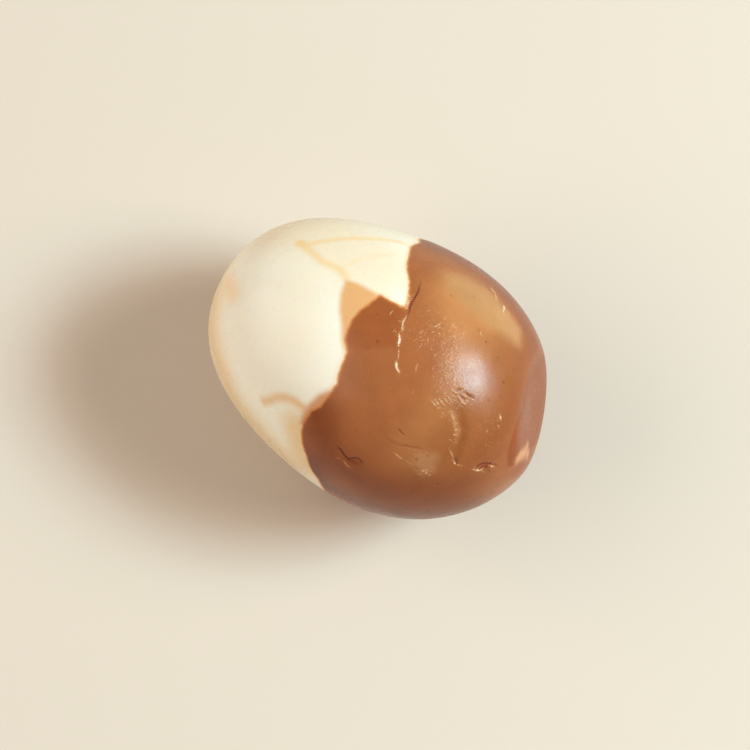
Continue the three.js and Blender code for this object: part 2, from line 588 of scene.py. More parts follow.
class Path:
    """A line drawn on the skin through given spots."""

    STEP = 0.1  # mm between samples
    TINY = 1e-9  # m between samples that fall on one spot
    ROUND = 20.0  # mm of radius that turns degrees into millimetres where only the step depends on it

    def __init__(self, skin: Skin, spots: tuple[Spot, ...], ease: float = 0.3, closed: bool = False) -> None:
        """Draws the line.

        Args:
            skin: The egg's skin.
            spots: Station and turn of each point.
            ease: How far corners are rounded, in millimetres.
            closed: Whether the line comes back to its start.
        """
        corners = np.array(spots + spots[:1] if closed else spots, float)
        if closed:
            corners[-1, 1] += 360 * round((corners[-2, 1] - corners[-1, 1]) / 360)
        gaps = np.hypot(np.diff(corners[:, 0]), np.radians(np.diff(corners[:, 1])) * self.ROUND)
        walked = np.concatenate([[0], np.cumsum(gaps)])
        count = max(3, round(walked[-1] / self.STEP))
        at = np.linspace(0, walked[-1], count)
        flat = np.stack([np.interp(at, walked, corners[:, i]) for i in (0, 1)], 1)
        self.flat = self.eased(flat, round(ease / self.STEP))
        placed = [skin.place(*spot) for spot in self.flat]
        self.points = np.array([p for p, _ in placed])
        self.normals = np.array([n for _, n in placed])
        ahead = np.gradient(self.points, axis=0)
        # past the pole many samples fall on one spot, where the line has no direction
        self.ahead = ahead / np.maximum(np.linalg.norm(ahead, axis=1, keepdims=True), self.TINY)
        self.left = np.cross(self.normals, self.ahead)

    @staticmethod
    def eased(flat: np.ndarray, window: int) -> np.ndarray:
        """Rounds a line's corners by averaging over a window of samples either way.

        Args:
            flat: Station and turn of each sample.
            window: How many samples to average over, either way.

        Returns:
            Station and turn of each sample of the rounded line, with its ends where they were.
        """
        if window < 1:
            return flat
        size = 2 * window + 1
        padded = np.concatenate([np.repeat(flat[:1], window, 0), flat, np.repeat(flat[-1:], window, 0)])
        kernel = np.ones(size) / size
        soft = np.stack([np.convolve(padded[:, i], kernel, "valid") for i in (0, 1)], 1)
        soft[0], soft[-1] = flat[0], flat[-1]
        return soft

    def measure(self, skin: Skin, reach: float) -> tuple[np.ndarray, np.ndarray, np.ndarray, np.ndarray]:
        """Measures the vertices that are near the line.

        Args:
            skin: The egg's skin.
            reach: How far off a vertex may be, in millimetres.

        Returns:
            For each near vertex its row, how far to the line's left it is and how far away it is, both in
            millimetres, and how far along the line its nearest sample is, from 0 to 1.
        """
        middle = (self.points.min(0) + self.points.max(0)) / 2
        radius = np.linalg.norm(self.points - middle, axis=1).max() + reach * MM
        rows = np.flatnonzero(np.linalg.norm(skin.points - middle, axis=1) < radius)
        sample, _ = nearest(self.points, skin.points[rows])
        offset = (skin.points[rows] - self.points[sample]) / MM
        left = (offset * self.left[sample]).sum(1)
        beyond = np.maximum(np.abs((offset * self.ahead[sample]).sum(1)) - self.STEP, 0)
        away = np.hypot(left, beyond)
        near = away < reach
        return rows[near], left[near], away[near], sample[near] / (len(self.points) - 1)


def waver(along: np.ndarray, waves: float, seed: int) -> np.ndarray:
    """A smooth, irregular wave from about -1 to 1.

    Args:
        along: Where to read it, from 0 to 1.
        waves: About how many waves there are from 0 to 1.
        seed: Chooses one of many such waves.

    Returns:
        The wave's height at each place.
    """
    random = np.random.default_rng(seed)
    height = np.zeros_like(along)
    for octave in (1.0, 1.7, 2.9):
        phase = random.uniform(0, 2 * math.pi)
        height += np.sin(2 * math.pi * waves * octave * along + phase) / octave
    return height / 1.5


@dataclass(frozen=True)
class Mark:
    """A crack, crease, scratch or torn fleck along a line.

    Attributes:
        spots: Station and turn of each point.
        width: Full width, in millimetres.
        depth: In millimetres. What stands proud has a depth below zero.
        dark: How strongly its floor is stained dark, from 0 to 1.
        pale: How strongly it is scraped pale, from 0 to 1.
        left_lip: Height of the raised edge on the line's left, in millimetres.
        right_lip: The same on its right.
        start: Share of its strength at its start.
        end: Share of its strength at its end.
        taper: Share of its length over which each end fades.
        seed: Chooses how it wavers.
    """

    spots: tuple[Spot, ...]
    width: float
    depth: float = 0.0
    dark: float = 0.0
    pale: float = 0.0
    left_lip: float = 0.0
    right_lip: float = 0.0
    start: float = 0.0
    end: float = 0.0
    taper: float = 0.3
    seed: int = 1

    GATHER = 1.2  # mm off the line from which vertices are drawn in
    TIGHT = 0.35  # share of their spacing that they keep on the line
    BAND = 0.45  # mm off a thin line as far as which its drawing is kept
    SHAPED = 2.5  # widths off the line as far as which it shapes the skin
    DRAWN = 1.6  # widths off the line as far as which it colours the skin
    STRAY = 0.12  # of its width, by which the line strays
    UNEVEN = 0.15  # of its strength, by which it comes and goes
    LIP_AT = 0.95  # widths from the line to a lip's crest
    LIP_WIDTH = 0.45  # widths from a lip's crest to its side

    def gather(self, skin: Skin) -> None:
        """Draws the vertices round a narrow mark in, so that it has enough of them.

        Args:
            skin: The egg's skin.
        """
        path = Path(skin, self.spots)
        rows, left, away, _ = path.measure(skin, self.GATHER)
        sample, _ = nearest(path.points, skin.points[rows])
        pull = (1 - self.TIGHT) * (1 - (away / self.GATHER) ** 2) * MM
        points = skin.points.copy()
        points[rows] -= (left * pull)[:, None] * path.left[sample]
        skin.move(points)

    def strength(self, along: np.ndarray) -> np.ndarray:
        """Fades the mark towards its ends, and makes it waver in between.

        Args:
            along: Where on the line, from 0 to 1.

        Returns:
            The share of its full strength at each place.
        """
        rise = self.start + (1 - self.start) * smoothstep(0, self.taper, along)
        fall = self.end + (1 - self.end) * smoothstep(0, self.taper, 1 - along)
        return np.minimum(rise, fall) * (1 + self.UNEVEN * waver(along, 3, self.seed))

    def cut(self, skin: Skin, wear: "Wear") -> None:
        """Adds the mark to the skin's wear.

        Args:
            skin: The egg's skin.
            wear: What is collected for the whole skin.
        """
        path = Path(skin, self.spots)
        rows, left, away, along = path.measure(skin, max(self.SHAPED * self.width, self.BAND))
        share = self.strength(along)
        stray = self.STRAY * self.width * waver(along, 4, self.seed + 3)
        signed = np.where(left < 0, -away, away) + stray
        bell = np.exp(-math.log(2) * (2 * signed / self.width) ** 2)
        crest, side = self.LIP_AT * self.width, self.LIP_WIDTH * self.width
        lips = np.exp(-(((np.abs(signed) - crest) / side) ** 2))
        lip_height = np.where(signed > 0, self.left_lip, self.right_lip)
        wear.height[rows] += share * (lip_height * lips - self.depth * bell)
        if self.dark or self.pale:
            wear.draw(rows, signed, away, self.width, self.dark * share, self.pale * share)


class Wear:
    """What the marks do to the skin: its height, the nearest thin line's drawing, and its scuffs."""

    def __init__(self, skin: Skin) -> None:
        """Starts level and clean.

        Args:
            skin: The egg's skin.
        """
        count = len(skin.points)
        self.height = np.zeros(count)
        self.away = np.full(count, 9.0)
        self.line = np.tile([9.0, 1.0, 0.0], (count, 1))
        self.tint = np.zeros((count, 3))

    def draw(
        self,
        rows: np.ndarray,
        side: np.ndarray,
        away: np.ndarray,
        width: float,
        dark: np.ndarray,
        pale: np.ndarray,
    ) -> None:
        """Keeps a thin line's drawing wherever no other line is nearer.

        Args:
            rows: The vertices near it.
            side: How far each is off the line, signed, in millimetres.
            away: How far away each is, in millimetres.
            width: The line's full width, in millimetres.
            dark: How dark the line is beside each.
            pale: How pale the line is beside each.
        """
        won = away < self.away[rows]
        rows, side, away = rows[won], side[won], away[won]
        reach = max(Mark.DRAWN * width, Mark.BAND)
        window = 1 - smoothstep(0.6 * reach, reach, away)
        self.away[rows] = away
        self.line[rows, 0] = side
        self.line[rows, 1] = width / 2
        self.tint[rows, 0] = np.clip(dark[won], 0, 1) * window
        self.tint[rows, 1] = np.clip(pale[won], 0, 1) * window

    def apply(self, skin: Skin, scuffed: np.ndarray) -> None:
        """Sinks and raises the skin, and keeps the drawing on it.

        Args:
            skin: The egg's skin.
            scuffed: How scuffed the skin is, from 0 to 1, for each vertex.
        """
        skin.move(skin.points + skin.normals * (self.height * MM)[:, None])
        self.tint[:, 2] = scuffed
        skin.keep("line", self.line)
        skin.keep("wear", self.tint)


@dataclass(frozen=True)
class Scratches:
    """A patch of short pale scratches that lie much the same way.

    Attributes:
        spots: Station and turn of each point of the line that they lie along.
        spread: How far off that line they may be, in millimetres.
        count: How many there are.
        heading_deg: Which way they run, from along the egg towards greater turn.
        scatter_deg: How far off that way they may run.
        lengths: Shortest and longest, in millimetres.
        width: Their width, in millimetres.
        pale: How pale the palest is, from 0 to 1.
        seed: Chooses one of many such patches.
    """

    spots: tuple[Spot, ...]
    spread: float
    count: int
    heading_deg: float
    scatter_deg: float
    lengths: tuple[float, float]
    width: float
    pale: float
    seed: int

    DEG_PER_MM = 2.8  # of turn, round the egg's middle
    PROUD = 0.02  # mm that they stand up

    def marks(self) -> list[Mark]:
        """Chooses the scratches.

        Returns:
            One mark for each.
        """
        random = np.random.default_rng(self.seed)
        line = np.array(self.spots, float)
        chosen = []
        for _ in range(self.count):
            where = random.uniform(0, len(line) - 1)
            station, turn = (np.interp(where, range(len(line)), line[:, i]) for i in (0, 1))
            station += random.normal(0, self.spread / 2)
            turn += random.normal(0, self.spread / 2) * self.DEG_PER_MM
            way = math.radians(self.heading_deg + random.normal(0, self.scatter_deg))
            half = random.uniform(*self.lengths) / 2
            step = (half * math.cos(way), half * math.sin(way) * self.DEG_PER_MM)
            ends = ((station - step[0], turn - step[1]), (station + step[0], turn + step[1]))
            pale = self.pale * random.uniform(0.35, 1)
            width = self.width * random.uniform(0.8, 1.2)
            chosen.append(Mark(ends, width, -self.PROUD, pale=pale, seed=self.seed))
        return chosen


@dataclass(frozen=True)
class Patch:
    """A soft-edged patch of skin round a spot or along a line.

    Attributes:
        spots: Station and turn of one spot or more.
        reach: From the spot or line to where the patch is at half strength, in millimetres.
        soft: How far its edge takes to fade, in millimetres.
        strength: From 0 to 1.
    """

    spots: tuple[Spot, ...]
    reach: float
    soft: float
    strength: float

    def cover(self, skin: Skin) -> np.ndarray:
        """Measures how much of the patch each vertex has.

        Args:
            skin: The egg's skin.

        Returns:
            The share of it for each vertex, from 0 to 1.
        """
        if len(self.spots) == 1:
            line = np.array([skin.place(*self.spots[0])[0]])
        else:
            line = Path(skin, self.spots, ease=1.0).points[::4]
        _, away = nearest(line, skin.points)
        edge = self.reach - away / MM
        return self.strength * smoothstep(-self.soft / 2, self.soft / 2, edge)


@dataclass(frozen=True)
class Blotch:
    """A soft-edged patch of colour round a spot or along a line.

    Attributes:
        hue: Its colour.
        spots: Station and turn of one spot or more.
        reach: From the spot or line to where the patch is at half strength, in millimetres.
        soft: How far its edge takes to fade, in millimetres.
        strength: From 0 to 1.
    """

    hue: Hue
    spots: tuple[Spot, ...]
    reach: float
    soft: float
    strength: float

    def cover(self, skin: Skin) -> np.ndarray:
        """How much of it each vertex has, from 0 to 1."""
        return Patch(self.spots, self.reach, self.soft, self.strength).cover(skin)


@dataclass(frozen=True)
class Field:
    """A patch of colour inside an outline, as one piece of cracked shell leaves it.

    Attributes:
        hue: Its colour.
        outline: Station and turn of each corner.
        soft: How far its edge takes to fade, in millimetres.
        strength: From 0 to 1.
    """

    hue: Hue
    outline: tuple[Spot, ...]
    soft: float
    strength: float

    def cover(self, skin: Skin) -> np.ndarray:
        """Measures how much of the patch each vertex has.

        Args:
            skin: The egg's skin.

        Returns:
            The share of it for each vertex, from 0 to 1.
        """
        path = Path(skin, self.outline, ease=0.6, closed=True)
        _, away = nearest(path.points[::2], skin.points)
        edge = np.where(inside(path.flat, skin.station, skin.turn), away, -away) / MM
        return self.strength * smoothstep(-self.soft / 2, self.soft / 2, edge)


def inside(loop: np.ndarray, station: np.ndarray, turn: np.ndarray) -> np.ndarray:
    """Tells which places lie on the pointed side of a loop, or inside it if it doesn't go round the egg.

    Args:
        loop: Station and turn of the loop's samples.
        station: Each place's station.
        turn: Each place's turn.

    Returns:
        True for each place from which a walk to the blunt end crosses the loop an odd number of times.
    """
    crossings = np.zeros(len(station), int)
    order = np.argsort(turn)
    sorted_turn = turn[order]
    for (s0, t0), (s1, t1) in zip(loop[:-1], loop[1:]):
        if t0 == t1:
            continue
        low, high = min(t0, t1), max(t0, t1)
        for lap in (-360, 0, 360):
            first, last = np.searchsorted(sorted_turn, [low + lap, high + lap], side="left")
            if first == last:
                continue
            rows = order[first:last]
            level = s0 + (s1 - s0) * (turn[rows] - lap - t0) / (t1 - t0)
            crossings[rows] += station[rows] < level
    return crossings % 2 == 1


# ---- The egg's own marks and stains, and the shade painted on it -----------------------------------

# Where the stain ends, once round the egg. The first four lines are the side that faces up.
STAIN_EDGE: tuple[Spot, ...] = (
    (-2.6, 59), (-2.8, 50.5), (-1.1, 38), (-0.2, 33.5), (1.2, 29), (3.0, 20), (3.5, 15.3), (2.2, 15.1),
    (0.9, 14.9), (-1.0, 15), (-1.3, 11), (-2.1, 5), (-2.3, 0), (-2.1, -4.6), (-1.6, -8.6), (-0.2, -12.2),
    (0, -16.6), (0.3, -22), (0.8, -26.3), (0.6, -28.4), (0.3, -33.2), (-0.1, -38.4), (-1.2, -43),
    (-1.7, -50.5), (-1.5, -55), (-0.9, -61), (0.2, -66.5), (1.2, -74), (2.9, -81), (3.6, -92), (3.0, -104),
    (0.4, -116), (-2.2, -126), (-1.4, -140), (-3.2, -152), (-6.4, -164), (-5.0, -176), (-6.8, -188),
    (-3.4, -200), (-0.2, -210), (0.6, -222), (-2.2, -232), (-4.8, -242), (-4.0, -254), (-6.0, -264),
    (-4.6, -276), (-2.4, -286), (-3.6, -294),
)

# Sharp marks, round which the skin is made finer.
CRACKS: tuple[Mark, ...] = (
    Mark(((2.6, 31), (3.3, 26), (3.5, 23), (3.7, 19), (4.1, 15.7), (4.6, 12)), 0.26, 0.08, dark=1.0,
         left_lip=0.02, right_lip=0.03, start=0.3, end=0.3, seed=3),
    Mark(((4.3, 12.8), (4.3, 10.4), (4.7, 8), (5.2, 5.4)), 0.26, -0.07, pale=0.75,
         start=0.6, end=0.5, seed=4),
    Mark(((5.0, 4.5), (5.5, 2.7), (5.8, 0.4)), 0.36, -0.1, pale=1.0, start=0.7, end=0.9, taper=0.2, seed=5),
    Mark(((6.0, -0.4), (6.6, -2.7), (6.9, -5)), 0.2, -0.05, pale=0.6, start=0.3, end=0.6, seed=6),
    Mark(((6.9, -6), (7.3, -7.8), (7.9, -8.6)), 0.36, -0.09, pale=1.0, start=0.8, end=0.8, taper=0.2, seed=7),
    Mark(((4.6, -50.9), (5.5, -52.2), (6.3, -54), (6.9, -54.8)), 0.34, 0.18, dark=1.0, start=0.4, end=0.9,
         right_lip=0.03, seed=8),
    Mark(((7.1, -54.0), (7.9, -51.8), (8.7, -52.0), (9.4, -54.0)), 0.32, 0.14, dark=0.9, start=0.8, seed=9),
    Mark(((11.7, -29.8), (12.5, -31.2), (13.3, -31.8)), 0.28, 0.08, dark=0.6, right_lip=0.02, seed=10),
    Mark(((23.8, -36.6), (24.2, -34.3), (24.7, -34.0), (25.5, -34.4)), 0.44, 0.18, dark=0.85,
         start=0.7, end=0.5, seed=11),
)

MARKS: tuple[Mark, ...] = (
    # lit edge of the long crack, and strokes beside it
    Mark(((3.0, 24.5), (3.15, 21.3), (3.35, 18.6)), 0.16, -0.02, pale=0.45),
    Mark(((2.1, 12.4), (2.0, 9.2)), 0.15, -0.03, pale=0.8),
    Mark(((4.0, 6.2), (4.0, 3.3)), 0.14, -0.03, pale=0.6),
    Mark(((3.6, 9.8), (3.9, 8.8)), 0.2, -0.03, pale=0.6),
    # strokes between the crack and the lamp's light
    Mark(((9.1, 19.2), (8.6, 15.1)), 0.16, -0.03, pale=0.7, start=0.6),
    Mark(((9.8, 15.5), (9.7, 13.5)), 0.2, -0.03, pale=0.75),
    Mark(((7.7, 12), (7.4, 9.8)), 0.14, -0.02, pale=0.55),
    Mark(((7.6, 7.8), (7.3, 4.4)), 0.14, -0.02, pale=0.45),
    Mark(((9.0, 23.5), (9.1, 20.5)), 0.14, -0.02, pale=0.5),
    Mark(((8.0, 19.8), (8.0, 16.7)), 0.14, -0.02, pale=0.45),
    Mark(((9.6, -0.9), (9.9, -4.4), (10.3, -5.8)), 0.24, -0.03, pale=0.5),
    Mark(((11.2, -12.0), (11.3, -14.2)), 0.18, -0.02, pale=0.5),
    Mark(((7.8, 7.6), (8.2, 10.9)), 0.14, -0.02, pale=0.6),
    Mark(((7.0, 10.0), (7.7, 9.4)), 0.18, -0.02, pale=0.6),
    Mark(((10.5, 22.2), (10.9, 21.7)), 0.22, -0.03, pale=0.7, start=0.7, end=0.7),
    # strokes side by side, left of the knot
    Mark(((14.0, -12.2), (15.2, -13.5)), 0.13, -0.03, pale=0.6, start=0.4, end=0.4),
    Mark(((14.2, -10.8), (15.6, -12.3)), 0.13, -0.03, pale=0.6, start=0.4, end=0.4),
    Mark(((14.6, -9.4), (16.0, -10.9)), 0.13, -0.03, pale=0.6, start=0.4, end=0.4),
    Mark(((15.1, -8.0), (16.3, -9.4)), 0.13, -0.03, pale=0.6, start=0.4, end=0.4),
    Mark(((15.5, -6.4), (16.6, -7.8)), 0.13, -0.03, pale=0.55, start=0.4, end=0.4),
    # knot, with the torn squiggle round it
    Mark(((17.1, -3.9), (17.7, -5.0), (18.3, -5.6)), 0.22, -0.05, pale=0.65, start=0.5, end=0.6, seed=21),
    Mark(((18.4, -5.4), (18.5, -4.2), (18.2, -2.9)), 0.2, -0.05, pale=0.55, start=0.5, end=0.3, seed=51),
    Mark(((17.3, -2.3), (18.0, -1.7), (18.8, -1.3)), 0.2, -0.04, pale=0.6, start=0.5, end=0.5, seed=54),
    Mark(((15.9, -3.0), (16.5, -3.4), (16.9, -2.6)), 0.2, -0.04, pale=0.5, start=0.5, end=0.5, seed=55),
    Mark(((17.7, -0.5), (18.7, -0.3)), 0.34, 0.1, dark=0.8, start=0.6, end=0.6, seed=22),
    Mark(((16.4, -1.8), (16.9, -0.2)), 0.3, 0.08, dark=0.7, start=0.6, end=0.6, seed=23),
    Mark(((17.2, -3.2), (17.9, -3.6)), 0.3, 0.08, dark=0.4, start=0.6, end=0.6, seed=56),
    # crease down from the knot: its valley, its rough crest and the pit at its foot
    Mark(((17.1, -6.9), (18.7, -10.7), (20.0, -16.9), (20.4, -22.4), (20.8, -31.6)), 1.3, 0.2,
         start=0.1, taper=0.4, seed=24),
    Mark(((17.4, -12.8), (18.8, -17.8), (19.4, -21.4), (19.6, -28)), 0.46, -0.045,
         start=0.1, taper=0.4, seed=25),
    Mark(((17.3, -12.4), (18.2, -15.4), (18.9, -18)), 0.22, -0.04, pale=0.5, seed=26),
    Mark(((19.3, -20.2), (19.6, -22)), 0.26, -0.04, pale=0.5, seed=27),
    Mark(((19.4, -29.6), (19.9, -31.5), (20.4, -34)), 0.24, -0.05, pale=0.6, start=0.4, end=0.6, seed=28),
    Mark(((20.8, -34.4), (21.2, -37)), 0.34, 0.16, dark=0.75, start=0.6, end=0.7, seed=29),
    Mark(((20.6, -36.2), (21.2, -38.2), (21.7, -38)), 0.24, -0.05, pale=0.7, start=0.5, end=0.6, seed=30),
    # shallow fold, and the scratch below it with its torn end
    Mark(((11.4, -36.8), (12.6, -37.3), (13.5, -36.6), (14.6, -35.7), (15.8, -34.8), (17.2, -33.8)),
         0.4, 0.06, dark=0.36, right_lip=0.03, start=0.4, taper=0.4, seed=31),
    Mark(((12.6, -41.3), (13.7, -42.5), (14.6, -43.4)), 0.16, -0.03, pale=0.7, seed=32),
    Mark(((14.6, -43.4), (15.3, -43.8), (15.9, -44.4)), 0.14, -0.02, pale=0.5, seed=33),
    Mark(((15.9, -44.4), (16.6, -45.3), (17.1, -46.6)), 0.2, 0.05, dark=0.4, seed=34),
    Mark(((17.4, -47.2), (17.7, -44.8)), 0.26, -0.04, pale=0.75, seed=35),
    Mark(((17.9, -48.4), (18.2, -46)), 0.26, -0.04, pale=0.65, seed=36),
    Mark(((18.4, -49.6), (18.7, -46.6)), 0.24, -0.03, pale=0.5, seed=37),
    # nick near the lower right, with its torn lip
    Mark(((24.9, -39.7), (25.5, -42)), 0.3, 0.1, dark=0.6, seed=38),
    Mark(((24.2, -38.2), (25.0, -36.9)), 0.34, 0.1, dark=0.8, start=0.6, end=0.6, seed=57),
    Mark(((23.5, -40.3), (24.2, -40.6), (24.4, -38.2)), 0.34, -0.08, pale=0.9, start=0.6, end=0.6, seed=39),
    Mark(((25.0, -35.8), (25.5, -36.6)), 0.26, -0.05, pale=0.8, start=0.5, end=0.5, seed=40),
    # lip under the forked nick, and the dents in it
    Mark(((7.4, -55.0), (8.3, -54.6)), 0.7, 0.16, dark=0.5, start=0.7, end=0.7, seed=42),
    Mark(((6.3, -56.8), (6.9, -58.0), (7.6, -58.4)), 0.3, -0.06, pale=0.6, start=0.5, end=0.7, seed=52),
    Mark(((5.2, -57.1), (5.4, -56.9)), 0.22, -0.04, pale=0.4, start=0.8, end=0.8, seed=53),
    # ring and flecks at the upper right
    Mark(((10.6, 58.2), (11.4, 58), (12.1, 54.5), (12.7, 52), (13.3, 51.6)), 0.22, -0.04, pale=0.6, seed=43),
    Mark(((10.7, 57.8), (11.2, 57)), 0.34, -0.06, pale=0.9, start=0.7, end=0.7, seed=58),
    Mark(((12.0, 55.6), (12.3, 54.8)), 0.3, -0.05, pale=0.8, start=0.7, end=0.7, seed=59),
    Mark(((14.0, 54), (14.3, 52.6)), 0.4, -0.08, pale=1.0, start=0.7, end=0.7, seed=44),
    Mark(((14.3, 51.4), (14.6, 50.4)), 0.34, -0.07, pale=0.9, start=0.7, end=0.7, seed=45),
    Mark(((15.0, 53.6), (15.3, 53)), 0.34, -0.06, pale=0.8, start=0.7, end=0.7, seed=46),
    Mark(((14.3, 28.6), (14.6, 28)), 0.3, -0.05, pale=0.7, start=0.6, end=0.6, seed=47),
    Mark(((23.1, 1.4), (23.3, 0.4)), 0.34, -0.05, pale=0.85, start=0.6, end=0.6, seed=48),
    Mark(((23.4, -3.8), (23.7, -5)), 0.3, -0.04, pale=0.6, start=0.5, end=0.5, seed=49),
    Mark(((22.6, -11), (22.8, -12.2)), 0.24, -0.03, pale=0.55, start=0.5, end=0.5, seed=50),
)

SCRATCHES: tuple[Scratches, ...] = (
    Scratches(((16.0, -14.6), (18.4, -13)), 0.9, 9, 73, 10, (0.6, 1.2), 0.12, 0.75, seed=2),
    Scratches(((17.2, -11), (18.9, -18), (19.5, -24), (19.6, -29)), 0.6, 30, -20, 60, (0.3, 0.6),
              0.15, 0.85, seed=12),
    Scratches(((16.0, -7.6), (17.6, -6.6)), 0.9, 7, 80, 14, (0.5, 1.0), 0.12, 0.75, seed=3),
    Scratches(((7.4, 18), (8.8, 8)), 2.8, 30, 84, 14, (0.5, 1.5), 0.09, 0.6, seed=4),
    Scratches(((8.4, 12), (10.4, 24)), 3.0, 12, -24, 14, (0.5, 1.1), 0.09, 0.5, seed=5),
    Scratches(((11.0, 18), (13.4, 2)), 2.4, 24, 80, 24, (0.4, 0.8), 0.1, 0.6, seed=6),
    Scratches(((12.0, 14), (14.4, -4)), 2.6, 22, -30, 24, (0.4, 0.8), 0.1, 0.55, seed=7),
    Scratches(((21.5, -8), (23.5, -22)), 2.6, 16, -30, 50, (0.3, 0.6), 0.16, 0.55, seed=8),
    Scratches(((5.0, -6), (12, -22)), 6.0, 14, 60, 50, (0.3, 0.7), 0.13, 0.4, seed=9),
    Scratches(((13.0, 56), (16.5, 50)), 1.6, 7, 20, 40, (0.4, 0.8), 0.18, 0.6, seed=10),
    Scratches(((6.0, 150), (16.0, 190), (12, 230)), 9.0, 30, 60, 50, (0.4, 1.4), 0.16, 0.5, seed=11),
)


